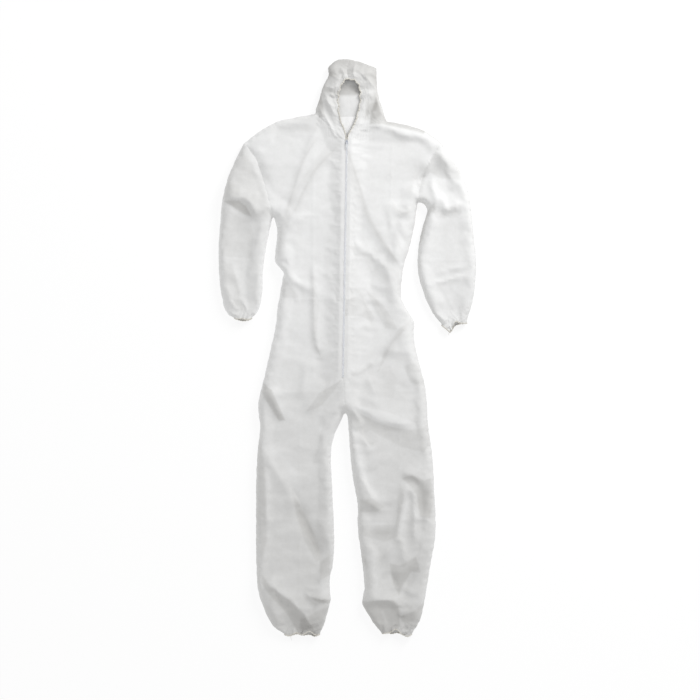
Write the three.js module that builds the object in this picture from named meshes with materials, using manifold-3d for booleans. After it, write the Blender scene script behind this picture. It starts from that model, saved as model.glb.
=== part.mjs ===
// A hooded disposable coverall, zipped up and laid flat on its back, in millimetres.
// X runs across the suit towards the wearer's left hand, Y runs up the body towards the hood, and Z is up.
// The origin is on the floor, under the middle of the suit. Left and right are the wearer's.
// The cloth is a thin-walled shell, loosely inflated, that is cut along its seams into the sewn panels.
import * as THREE from "three";
import { mergeVertices } from "three/addons/utils/BufferGeometryUtils.js";
import Module from "manifold-3d";

const wasm = await Module();
wasm.setup();

// Cloth
const WALL = 1.5; // thickness of the shell that stands for the cloth
const GAP = 0.4; // between two panels that are sewn together
const ROLL = 18; // width of the rounded side of a flattened tube
const PANEL_SPLIT_Z = 3; // height of the side seams, which lie rolled under near the floor
const TORSO_LOFT = 52;
const LEG_LOFT = 46; // low on the shins, where the legs grow flatter
const SLEEVE_LOFT = 36;
const HOOD_LOFT = 48;
const REACH = 1200; // longer than any piece, for cutting tools

// Levels up the body
const NECK_Y = 730; // the hood turns here
const ELBOW_Y = 277; // the sleeves fold here
const CROTCH_Y = -212;
const THIGH_Y = -250; // the body panels end here, and the thigh panels carry on
const KNEE_Y = -542; // the legs fold here
const WAIST_Y = 151;
const CENTRE_BACK_X = -5;

// Zip
const ZIP_TOP = new THREE.Vector2(-2, 655);
const ZIP_FOOT = new THREE.Vector2(-14, -91);
const ZIP_LENGTH = ZIP_TOP.distanceTo(ZIP_FOOT);
const ZIP_TURN = Math.atan2(ZIP_FOOT.x - ZIP_TOP.x, ZIP_TOP.y - ZIP_FOOT.y);
const ZIP_SLOT = 10; // between the two front panels' edges
const TAPE = { width: 12, thickness: 0.7, from: 1, bottom: 49.4 };
const COIL = { width: 2.1, height: 2, from: 0.5, bottom: 50.5 };
const STOP_LENGTH = 4;
const SLIDER_LENGTH = 13;
const SLIDER_WIDTH = 7.8;
const PLATE = 1.2;
const SLIDER_TOP = 54;
const BAIL_HEIGHT = 2.3; // of the bail's bar over the slider's top plate
const BAIL_RADIUS = 0.6;
const EYE = { outer: 1.7, bore: 0.95, width: 2.6 };
const TAB = { length: 24, width: 5, end: 6.4, thickness: 1.2, droop: THREE.MathUtils.degToRad(7) };

// Trims
const CUFF_WALL = 2.2;
const CUFF_LENGTH = 10;
const ANKLE_LENGTH = 16;
const FACE_BAND = 0.86; // inner edge of the face elastic, as a share of its outer edge
const LABEL = { width: 56, height: 60, thickness: 0.6, x: 2, y: 698 };
const WAIST_BAND = { length: 326, width: 10, thickness: 1.2, x: -23.5 };

// Each station of a tube is [y, right edge x, left edge x, height], from its top end down.
const HOOD = [
  [914, -24, 8, 30],
  [904, -46, 41, 40],
  [888, -62, 93, 46],
  [863, -61, 93, HOOD_LOFT],
  [825, -80, 93, HOOD_LOFT],
  [806, -85, 96, HOOD_LOFT],
  [775, -93, 105, HOOD_LOFT],
  [743, -102, 117, HOOD_LOFT],
  [715, -104, 124, HOOD_LOFT],
];
const YOKE = [
  [NECK_Y, -160, 112, HOOD_LOFT],
  [718, -222, 130, TORSO_LOFT],
  [706, -245, 190, TORSO_LOFT],
  [687, -279, 247, TORSO_LOFT],
  [652, -325, 297, TORSO_LOFT],
  [592, -358, 339, TORSO_LOFT],
  [529, -383, 373, TORSO_LOFT],
  [455, -399, 391, TORSO_LOFT],
];
const RIGHT_UNDERARM = [
  [466, -397, 205, TORSO_LOFT],
  [413, -402, 205, TORSO_LOFT],
];
const RIGHT_SLEEVE = [
  [430, -401, -232, TORSO_LOFT - 1],
  [413, -403, -235, 50],
  [372, -408, -243, 45],
  [340, -409, -250, 41],
  [300, -411, -258, SLEEVE_LOFT],
  [214, -408, -267, SLEEVE_LOFT],
  [151, -398, -269, 34],
  [120, -389, -280, 30],
  [104, -374, -292, 26],
  [98, -362, -298, 22],
  [94, -362, -298, 22],
];
const LEFT_SLEEVE = [
  [490, 252, 374, 44],
  [460, 228, 389, 50],
  [435, 250, 395, 47],
  [372, 232, 402, 41],
  [300, 219, 409, SLEEVE_LOFT],
  [230, 222, 411, SLEEVE_LOFT],
  [183, 235, 405, 34],
  [120, 262, 389, 30],
  [92, 284, 381, 26],
  [82, 296, 376, 22],
  [78, 296, 376, 22],
];
const TORSO = [
  [480, -230, 212, TORSO_LOFT],
  [413, -235, 217, TORSO_LOFT],
  [356, -225, 208, TORSO_LOFT],
  [277, -232, 186, TORSO_LOFT],
  [236, -205, 178, TORSO_LOFT],
  [173, -216, 172, TORSO_LOFT],
  [120, -225, 190, TORSO_LOFT],
  [82, -229, 213, TORSO_LOFT],
  [0, -245, 219, TORSO_LOFT],
  [-69, -260, 235, TORSO_LOFT],
  [-132, -276, 250, TORSO_LOFT],
  [-180, -285, 254, TORSO_LOFT],
  [CROTCH_Y, -283, 257, TORSO_LOFT],
];
const RIGHT_LEG = [
  [-190, -284, -8, TORSO_LOFT],
  [-227, -282, -17, TORSO_LOFT],
  [-290, -283, -43, TORSO_LOFT],
  [-346, -288, -49, TORSO_LOFT],
  [-479, -291, -43, TORSO_LOFT],
  [-605, -291, -39, TORSO_LOFT],
  [-668, -291, -44, 50],
  [-731, -288, -52, LEG_LOFT],
  [-794, -276, -49, 42],
  [-857, -250, -68, 36],
  [-892, -222, -84, 28],
  [-897, -222, -84, 28],
];
const LEFT_LEG = [
  [-190, -3, 254, TORSO_LOFT],
  [-227, -2, 257, TORSO_LOFT],
  [-290, 3, 263, TORSO_LOFT],
  [-353, 8, 272, TORSO_LOFT],
  [-479, 27, 281, TORSO_LOFT],
  [-573, 32, 281, TORSO_LOFT],
  [-636, 39, 276, 51],
  [-699, 46, 263, 48],
  [-762, 52, 253, 44],
  [-803, 45, 246, 42],
  [-857, 68, 232, 36],
  [-892, 100, 209, 28],
  [-897, 100, 209, 28],
];
// The face opening runs down from the hood's brow to a point at the top of the zip.
const FACE = [
  [-2, 655],
  [-14, 693],
  [-27, 740],
  [-30, 785],
  [-24, 822],
  [4, 846],
  [33, 822],
  [39, 785],
  [34, 740],
  [15, 693],
];

function material(name, color, roughness, metalness = 0) {
  return new THREE.MeshStandardMaterial({ name, color, roughness, metalness });
}

const cloth = material("cloth", 0xeeeeec, 0.9);
const elastic = material("elastic", 0xe6e3da, 0.8);
const tape = material("tape", 0xe9ecef, 0.8);
const coil = material("coil", 0xc9d3df, 0.45);
const enamel = material("enamel", 0xb9bec4, 0.35, 0.6);
const satin = material("satin", 0xf7f7f7, 0.5);

// A closed geometry as a solid that can be cut and joined.
function solid(geometry) {
  const bare = geometry.clone();
  bare.deleteAttribute("normal");
  bare.deleteAttribute("uv");
  const merged = mergeVertices(bare, 1e-4);
  return new wasm.Manifold(
    new wasm.Mesh({
      numProp: 3,
      vertProperties: merged.attributes.position.array,
      triVerts: new Uint32Array(merged.index.array),
    }),
  );
}

function mesh(name, made, material) {
  const { vertProperties, triVerts } = made.getMesh();
  const geometry = new THREE.BufferGeometry();
  geometry.setAttribute("position", new THREE.BufferAttribute(vertProperties, 3));
  geometry.setIndex(new THREE.BufferAttribute(triVerts, 1));
  geometry.computeVertexNormals();
  const result = new THREE.Mesh(geometry, material);
  result.name = name;
  return result;
}

function box(width, length, height, x, y, z) {
  return solid(new THREE.BoxGeometry(width, length, height).translate(x, y, z));
}

// Corners of a flattened tube's section: which edge, share of ROLL in from it, share of the height.
const SECTION = [
  [1, 0, 0.5],
  [1, 0.3, 0.15],
  [1, 1, 0],
  [-1, 1, 0],
  [-1, 0.3, 0.15],
  [-1, 0, 0.5],
  [-1, 0.3, 0.85],
  [-1, 1, 1],
  [1, 1, 1],
  [1, 0.3, 0.85],
];

// A flattened tube through its stations, drawn in by inset on its sides. Each of its ends moves out by ends.
function tube(stations, inset = 0, ends = [0, 0]) {
  const last = stations.length - 1;
  const geometry = new THREE.CylinderGeometry(1, 1, 1, SECTION.length, last);
  const position = geometry.attributes.position;
  for (let i = 0; i < position.count; i++) {
    const row = Math.round((0.5 - position.getY(i)) * last);
    const [y, right, left, height] = stations[row];
    const shift = row === 0 ? ends[0] : row === last ? -ends[1] : 0;
    if (Math.hypot(position.getX(i), position.getZ(i)) < 0.5) {
      position.setXYZ(i, (left + right) / 2, y + shift, height / 2);
      continue;
    }
    // CylinderGeometry starts at +Z and turns towards +X, so its corner number is read from that angle.
    const turn = Math.atan2(position.getX(i), position.getZ(i)) / (2 * Math.PI);
    const [side, rolled, rise] = SECTION[Math.round((turn + 1) * SECTION.length) % SECTION.length];
    const edge = side > 0 ? left - inset : right + inset;
    const roll = Math.min(ROLL, (left - right) / 3);
    position.setXYZ(i, edge - side * rolled * roll, y + shift, inset + rise * (height - 2 * inset));
  }
  return solid(geometry);
}

// A prism over a closed outline of points, from z0 to z1.
function prism(points, z0, z1) {
  const shape = new THREE.Shape(points.map(([x, y]) => new THREE.Vector2(x, y)));
  const geometry = new THREE.ExtrudeGeometry(shape, { depth: z1 - z0, bevelEnabled: false });
  return solid(geometry.translate(0, 0, z0));
}

// A thin upright blade from one point to another that cuts a seam.
function blade([x0, y0], [x1, y1], width = GAP, z0 = -5, z1 = 90) {
  const geometry = new THREE.BoxGeometry(Math.hypot(x1 - x0, y1 - y0), width, z1 - z0);
  geometry.rotateZ(Math.atan2(y1 - y0, x1 - x0));
  return solid(geometry.translate((x0 + x1) / 2, (y0 + y1) / 2, (z0 + z1) / 2));
}

// Of the pieces that a cut leaves, the one that holds material at a point.
function pieceAt(pieces, [x, y, z]) {
  const probe = box(4, 4, 4, x, y, z);
  return pieces.find((piece) => piece.intersect(probe).volume() > 0);
}

function cutInto(whole, ...cuts) {
  return cuts.reduce((rest, cut) => rest.subtract(cut), whole).decompose();
}

function clothShell() {
  const outer = [HOOD, YOKE, RIGHT_UNDERARM, RIGHT_SLEEVE, LEFT_SLEEVE, TORSO, RIGHT_LEG, LEFT_LEG]
    .map((stations) => tube(stations))
    .reduce((all, next) => all.add(next));
  const closed = -WALL;
  const open = 5;
  const inner = [
    tube(HOOD, WALL, [closed, 0]),
    tube(YOKE, WALL, [closed, closed]),
    tube(RIGHT_UNDERARM, WALL, [0, closed]),
    tube(RIGHT_SLEEVE, WALL, [0, open]),
    tube(LEFT_SLEEVE, WALL, [0, open]),
    tube(TORSO, WALL, [0, closed]),
    tube(RIGHT_LEG, WALL, [0, open]),
    tube(LEFT_LEG, WALL, [0, open]),
  ].reduce((all, next) => all.add(next));
  return outer.subtract(inner);
}

function faceOutline(scale = 1) {
  const [cx, cy] = [4, 785];
  const curve = new THREE.CatmullRomCurve3(
    FACE.map(([x, y]) => new THREE.Vector3(cx + (x - cx) * scale, cy + (y - cy) * scale, 0)),
    true,
  );
  return curve.getPoints(3 * FACE.length).slice(0, -1).map((p) => [p.x, p.y]);
}

// The panels, from the whole shell: the limbs and hood come off first, then each is parted along its seams.
function clothPanels() {
  const limbs = cutInto(
    clothShell(),
    blade([-REACH / 2, NECK_Y], [REACH / 2, NECK_Y]),
    blade([-366, 742], [-235, 413]),
    blade([-235, 414], [-235, 402]),
    blade([333, 756], [222, 460]),
    blade([222, 461], [222, 448]),
    blade([-REACH / 2, ELBOW_Y], [-246, ELBOW_Y]),
    blade([203, ELBOW_Y], [REACH / 2, ELBOW_Y]),
    blade([-REACH / 2, THIGH_Y], [REACH / 2, THIGH_Y]),
    blade([-REACH / 2, KNEE_Y], [REACH / 2, KNEE_Y]),
  );
  const floor = WALL / 2;
  const sideSeams = box(REACH, 3 * REACH, GAP, 0, 0, PANEL_SPLIT_Z);
  const face = prism(faceOutline(1.01), PANEL_SPLIT_Z, 90);
  const hood = cutInto(pieceAt(limbs, [60, 800, floor]), face, blade([4, NECK_Y - 5], [4, REACH]));
  const body = cutInto(
    pieceAt(limbs, [0, 100, floor]),
    sideSeams,
    face,
    blade([CENTRE_BACK_X, NECK_Y + 5], [CENTRE_BACK_X, -300], GAP, -5, PANEL_SPLIT_Z),
    blade(ZIP_TOP.toArray().map((v, i) => v + i * 2), [ZIP_FOOT.x, ZIP_FOOT.y - 9], ZIP_SLOT, PANEL_SPLIT_Z),
    blade([ZIP_FOOT.x, ZIP_FOOT.y], [-5, -300], GAP, PANEL_SPLIT_Z),
  );
  const panels = [
    mesh("hood_panel_right", pieceAt(hood, [-50, 800, floor]), cloth),
    mesh("hood_panel_left", pieceAt(hood, [60, 800, floor]), cloth),
    mesh("front_panel_right", pieceAt(body, [-120, 300, TORSO_LOFT - floor]), cloth),
    mesh("front_panel_left", pieceAt(body, [100, 300, TORSO_LOFT - floor]), cloth),
    mesh("back_panel_right", pieceAt(body, [-120, 300, floor]), cloth),
    mesh("back_panel_left", pieceAt(body, [100, 300, floor]), cloth),
    mesh("sleeve_upper_right", pieceAt(limbs, [-330, 350, floor]), cloth),
    mesh("sleeve_upper_left", pieceAt(limbs, [320, 350, floor]), cloth),
    mesh("sleeve_lower_right", pieceAt(limbs, [-330, 200, floor]), cloth),
    mesh("sleeve_lower_left", pieceAt(limbs, [320, 200, floor]), cloth),
  ];
  for (const [side, x] of [["right", -150], ["left", 150]]) {
    for (const [part, y] of [["upper", -400], ["lower", -560]]) {
      const leg = cutInto(pieceAt(limbs, [x, y, floor]), sideSeams);
      panels.push(mesh(`leg_front_${part}_${side}`, pieceAt(leg, [x, y, TORSO_LOFT - floor]), cloth));
      panels.push(mesh(`leg_back_${part}_${side}`, pieceAt(leg, [x, y, floor]), cloth));
    }
  }
  return panels;
}

// A gathered ring of elastic at the open end of a tube, from the tube's last station.
function endElastic(name, stations, narrowing, length) {
  const [y, right, left, height] = stations.at(-1);
  const ring = [
    [y - GAP, right + narrowing, left - narrowing, height],
    [y - length, right + 1.5 * narrowing, left - 1.5 * narrowing, height - 1],
  ];
  return mesh(name, tube(ring).subtract(tube(ring, CUFF_WALL, [5, 5])), elastic);
}

function faceElastic() {
  const band = prism(faceOutline(), HOOD_LOFT - 2.6, HOOD_LOFT + 0.4);
  const hole = prism(faceOutline(FACE_BAND), 0, 90);
  const below = box(REACH, REACH, 200, 0, NECK_Y + GAP - REACH / 2, 0);
  return mesh("hood_face_elastic", band.subtract(hole).subtract(below), elastic);
}

function waistElastic() {
  const { length, width, thickness, x } = WAIST_BAND;
  const z = WALL + GAP + thickness / 2;
  return mesh("waist_elastic", box(length, width, thickness, x, WAIST_Y, z), elastic);
}

function neckLabel() {
  const { width, height, thickness, x, y } = LABEL;
  const z = WALL + GAP + thickness / 2;
  return mesh("neck_label", box(width, height, thickness, x, y, z), satin);
}

// One side's tape, coil and top stop, in the zip's own frame: its top is the origin and it runs down -Y.
function zipSide(name, side) {
  const middle = -ZIP_LENGTH / 2;
  const chain = ZIP_LENGTH - 2 * STOP_LENGTH;
  const coilX = side * (COIL.from + COIL.width / 2);
  const coilZ = COIL.bottom + COIL.height / 2;
  const tapeX = side * (TAPE.from + TAPE.width / 2);
  const tapeZ = TAPE.bottom + TAPE.thickness / 2;
  const stopY = -STOP_LENGTH / 2;
  const ribbon = box(TAPE.width, ZIP_LENGTH + 6, TAPE.thickness, tapeX, middle - 3, tapeZ);
  const bar = box(COIL.width, chain, COIL.height, coilX, middle, coilZ);
  const stop = box(COIL.width, STOP_LENGTH - 1, COIL.height, coilX, stopY, coilZ);
  return [
    mesh(`zip_tape_${name}`, ribbon, tape),
    mesh(`zip_coil_${name}`, bar, coil),
    mesh(`zip_top_stop_${name}`, stop, enamel),
  ];
}

// A rod along X about its own middle.
function rod(radius, length, sides) {
  return solid(new THREE.CylinderGeometry(radius, radius, length, sides).rotateZ(Math.PI / 2));
}

// The slider's outline seen from the front, wide at its top where the two chains part.
function sliderPlate(bottom) {
  const [w, l] = [SLIDER_WIDTH / 2, SLIDER_LENGTH / 2];
  const half = [[w - 1, l], [w, l - 3], [w - 0.6, 1 - l], [w - 1.4, -l]];
  const otherHalf = half.map(([x, y]) => [-x, y]).reverse();
  return prism([...half, ...otherHalf], bottom, bottom + PLATE);
}

function slider() {
  const height = SLIDER_TOP - TAPE.bottom;
  const earX = EYE.width / 2 + 0.7;
  const earZ = SLIDER_TOP + BAIL_HEIGHT / 2;
  const flangeX = SLIDER_WIDTH / 2 - 0.7;
  const pieces = [
    sliderPlate(SLIDER_TOP - PLATE),
    sliderPlate(TAPE.bottom - 0.6 - PLATE),
    box(0.6, 4, height + 1, 0, SLIDER_LENGTH / 2 - 3, SLIDER_TOP - height / 2 - 0.8),
    rod(BAIL_RADIUS, 2 * earX, 12).translate([0, 0, SLIDER_TOP + BAIL_HEIGHT]),
  ];
  for (const side of [-1, 1]) {
    pieces.push(box(0.8, 2.4, BAIL_HEIGHT + 1.2, side * earX, 0, earZ));
    pieces.push(box(0.8, SLIDER_LENGTH - 5, 2.2, side * flangeX, 0, SLIDER_TOP - 1.5));
  }
  return mesh("zip_slider", pieces.reduce((all, next) => all.add(next)), enamel);
}

// The pull tab about its own eye, lying down the suit.
function pullTab() {
  const { length, width, end, thickness, droop } = TAB;
  const neck = EYE.width / 2;
  const half = [[neck, -0.5], [neck, -4], [width / 2, -7], [end / 2, 3 - length], [end / 2 - 1.6, -length]];
  const otherHalf = half.map(([x, y]) => [-x, y]).reverse();
  const flat = prism([...half, ...otherHalf], -thickness / 2, thickness / 2);
  const blank = rod(EYE.outer, EYE.width, 16).add(flat);
  const slot = box(2.4, 5.6, 10, 0, 6.2 - length, 0);
  const made = blank.subtract(rod(EYE.bore, EYE.width + 2, 16)).subtract(slot);
  const tab = mesh("zip_pull_tab", made, enamel);
  tab.rotation.x = droop;
  return tab;
}

function zip() {
  const group = new THREE.Group();
  group.position.set(ZIP_TOP.x, ZIP_TOP.y, 0);
  group.rotation.z = ZIP_TURN;
  group.add(...zipSide("right", -1), ...zipSide("left", 1));
  const stopZ = COIL.bottom + COIL.height / 2;
  const stop = box(6.4, STOP_LENGTH - 0.8, COIL.height, 0, 1.6 - ZIP_LENGTH, stopZ);
  group.add(mesh("zip_bottom_stop", stop, enamel));
  const runner = slider();
  runner.position.y = -STOP_LENGTH - SLIDER_LENGTH / 2;
  const tab = pullTab();
  tab.position.set(0, runner.position.y, SLIDER_TOP + BAIL_HEIGHT);
  group.add(runner, tab);
  return group;
}

const suit = new THREE.Group();
suit.add(
  ...clothPanels(),
  faceElastic(),
  endElastic("cuff_elastic_right", RIGHT_SLEEVE, 2, CUFF_LENGTH),
  endElastic("cuff_elastic_left", LEFT_SLEEVE, 2, CUFF_LENGTH),
  endElastic("ankle_elastic_right", RIGHT_LEG, 8, ANKLE_LENGTH + 1),
  endElastic("ankle_elastic_left", LEFT_LEG, 6, ANKLE_LENGTH + 1),
  waistElastic(),
  neckLabel(),
  zip(),
);
export default suit;
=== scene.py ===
"""A hooded disposable coverall, zipped up and laid flat on its back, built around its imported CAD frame.

X runs across the suit towards the wearer's left, Y runs up the body towards the hood and Z is up.
Outlines, seams and folds are in millimetres in that frame. Everything else is in metres.
"""

import math

import bmesh
import bpy
import numpy as np
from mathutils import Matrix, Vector
from mathutils.bvhtree import BVHTree
from mathutils.geometry import delaunay_2d_cdt
from mathutils.kdtree import KDTree


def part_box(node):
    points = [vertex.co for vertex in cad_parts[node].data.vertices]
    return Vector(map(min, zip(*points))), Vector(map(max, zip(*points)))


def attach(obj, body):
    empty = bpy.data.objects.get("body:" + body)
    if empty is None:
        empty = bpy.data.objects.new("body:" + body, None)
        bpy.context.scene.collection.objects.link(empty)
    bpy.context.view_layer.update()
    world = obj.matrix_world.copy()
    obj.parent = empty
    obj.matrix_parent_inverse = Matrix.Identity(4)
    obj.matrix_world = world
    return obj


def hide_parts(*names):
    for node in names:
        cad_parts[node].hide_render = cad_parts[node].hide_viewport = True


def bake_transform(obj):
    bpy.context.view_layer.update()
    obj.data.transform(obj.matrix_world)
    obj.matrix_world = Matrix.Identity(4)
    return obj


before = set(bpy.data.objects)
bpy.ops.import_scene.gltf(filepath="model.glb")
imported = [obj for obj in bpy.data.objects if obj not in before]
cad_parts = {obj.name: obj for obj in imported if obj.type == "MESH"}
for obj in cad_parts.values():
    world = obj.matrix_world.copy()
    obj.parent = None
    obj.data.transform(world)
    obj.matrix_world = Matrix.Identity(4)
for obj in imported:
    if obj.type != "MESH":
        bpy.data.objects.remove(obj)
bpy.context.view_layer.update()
MM = 0.001

# ---------------------------------------------------------------- outline, anticlockwise from the crown

CLOSED, MOUTH = "closed", "mouth"
SIDES = ("right", "left")  # the wearer's
OUTLINE = [
    (CLOSED, [(8, 914), (-24, 914), (-46, 904), (-64, 886)]),
    (CLOSED, [(-64, 886), (-60, 864), (-70, 843), (-79, 825), (-86, 800), (-93, 775), (-101, 757),
        (-102, 742)]),
    (CLOSED, [(-102, 742), (-150, 734), (-222, 718), (-279, 687), (-329, 649)]),
    (CLOSED, [(-329, 649), (-358, 592), (-383, 529), (-398, 466), (-407, 372), (-410, 277), (-407, 214),
        (-398, 151), (-389, 122), (-375, 103), (-359, 96)]),
    (MOUTH, [(-359, 96), (-345, 91), (-329, 88), (-313, 91), (-301, 96)]),
    (CLOSED, [(-301, 96), (-283, 114), (-270, 151), (-265, 200), (-263, 261), (-250, 340), (-235, 413)]),
    (CLOSED, [(-235, 413), (-227, 385), (-225, 350), (-231, 310), (-232, 276), (-220, 258), (-203, 236)]),
    (CLOSED, [(-203, 236), (-210, 205), (-216, 173), (-225, 120), (-232, 57), (-245, 0), (-260, -69),
        (-276, -132), (-285, -180), (-281, -225), (-279, -258), (-288, -337), (-291, -416), (-292, -550),
        (-291, -668), (-285, -762), (-266, -825), (-236, -880), (-200, -904)]),
    (MOUTH, [(-200, -904), (-182, -909), (-160, -903), (-143, -907), (-120, -905), (-104, -911),
        (-86, -904)]),
    (CLOSED, [(-86, -904), (-67, -857), (-50, -794)]),
    (CLOSED, [(-50, -794), (-53, -731), (-43, -680), (-39, -605), (-41, -540), (-44, -479), (-50, -346)]),
    (CLOSED, [(-50, -346), (-43, -290), (-17, -227), (-6, -206)]),
    (CLOSED, [(-6, -206), (-1, -227), (8, -353), (16, -420), (27, -479), (31, -520), (29, -545), (32, -590),
        (39, -640), (47, -710), (52, -758)]),
    (CLOSED, [(52, -758), (44, -803), (50, -822), (80, -868), (108, -902)]),
    (MOUTH, [(108, -902), (125, -899), (140, -903), (157, -899), (172, -904), (190, -909), (205, -903)]),
    (CLOSED, [(205, -903), (232, -857), (247, -794), (263, -699), (279, -605), (282, -540), (279, -480),
        (272, -353), (264, -290), (258, -243), (254, -180), (250, -132), (235, -69), (219, -6), (212, 41),
        (214, 82)]),
    (CLOSED, [(214, 82), (192, 118), (174, 152), (172, 198)]),
    (CLOSED, [(172, 198), (181, 261), (200, 324), (214, 387), (221, 440), (224, 459)]),
    (CLOSED, [(224, 459), (240, 453), (250, 436), (243, 410), (232, 372), (222, 320), (219, 275), (222, 230),
        (235, 183), (260, 122), (297, 74)]),
    (MOUTH, [(297, 74), (312, 62), (326, 52), (340, 72), (356, 78), (379, 80)]),
    (CLOSED, [(379, 80), (382, 100), (390, 122), (399, 151), (407, 214), (410, 277), (403, 340), (397, 400),
        (389, 466), (373, 529), (339, 592), (295, 652)]),
    (CLOSED, [(295, 652), (247, 687), (181, 709), (125, 718)]),
    (CLOSED, [(125, 718), (114, 750), (104, 780), (97, 806), (94, 844), (93, 886)]),
    (CLOSED, [(93, 886), (50, 902), (8, 914)]),
]

ZIP_TOP = Vector((-2, 652))
ZIP_FOOT = Vector((-14, -91))
ZIP_SLOT = 2.9  # from the zip's centre line to each front edge
ZIP_HEIGHT = 51.2  # of the front edges, which cover the tapes and pass under the slider
TAPE_COVER = 15  # how far the cloth lies flat over each tape, to which it is sewn
FACE_RIGHT = [
    (-2, 652), (-12, 690), (-22, 712), (-25, 730), (-30, 746), (-27, 762), (-32, 776), (-27, 789),
    (-31, 801), (-23, 812), (-23, 824), (-14, 833), (-9, 844), (4, 847)
]
FACE_LEFT = [
    (4, 847), (14, 842), (22, 845), (30, 833), (38, 829), (37, 815), (44, 804), (38, 792), (43, 778),
    (37, 765), (38, 752), (31, 738), (30, 724), (20, 700), (3, 668), (-2, 652)
]
HOOD_SEAM_RIGHT = [(-102, 742), (-84, 722), (-60, 700), (-36, 672), (-8, 648)]
HOOD_SEAM_LEFT = [(125, 718), (98, 712), (70, 697), (44, 676), (5, 648)]
ARMHOLE_RIGHT = [(-329, 649), (-300, 615), (-280, 580), (-258, 505), (-235, 413)]
ARMHOLE_LEFT = [(295, 652), (266, 600), (243, 555), (228, 505), (224, 459)]
CROTCH_SEAM = [(-14, -91), (-10, -150), (-6, -206)]
NECK_SEAM_BACK = [(-102, 742), (-50, 735), (10, 732), (70, 728), (125, 718)]
HOOD_SEAM_FRONT = [(4, 847), (-2, 880), (8, 914)]
HOOD_SEAM_BACK = [(10, 732), (6, 820), (8, 914)]
CENTRE_BACK = [(10, 732), (0, 400), (-6, 100), (-6, -206)]
SEAMS_FRONT = [
    ARMHOLE_RIGHT, ARMHOLE_LEFT, HOOD_SEAM_RIGHT, HOOD_SEAM_LEFT, CROTCH_SEAM, HOOD_SEAM_FRONT
]
SEAMS_BACK = [ARMHOLE_RIGHT, ARMHOLE_LEFT, NECK_SEAM_BACK, CENTRE_BACK, HOOD_SEAM_BACK]

# ---------------------------------------------------------------- folds

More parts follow.
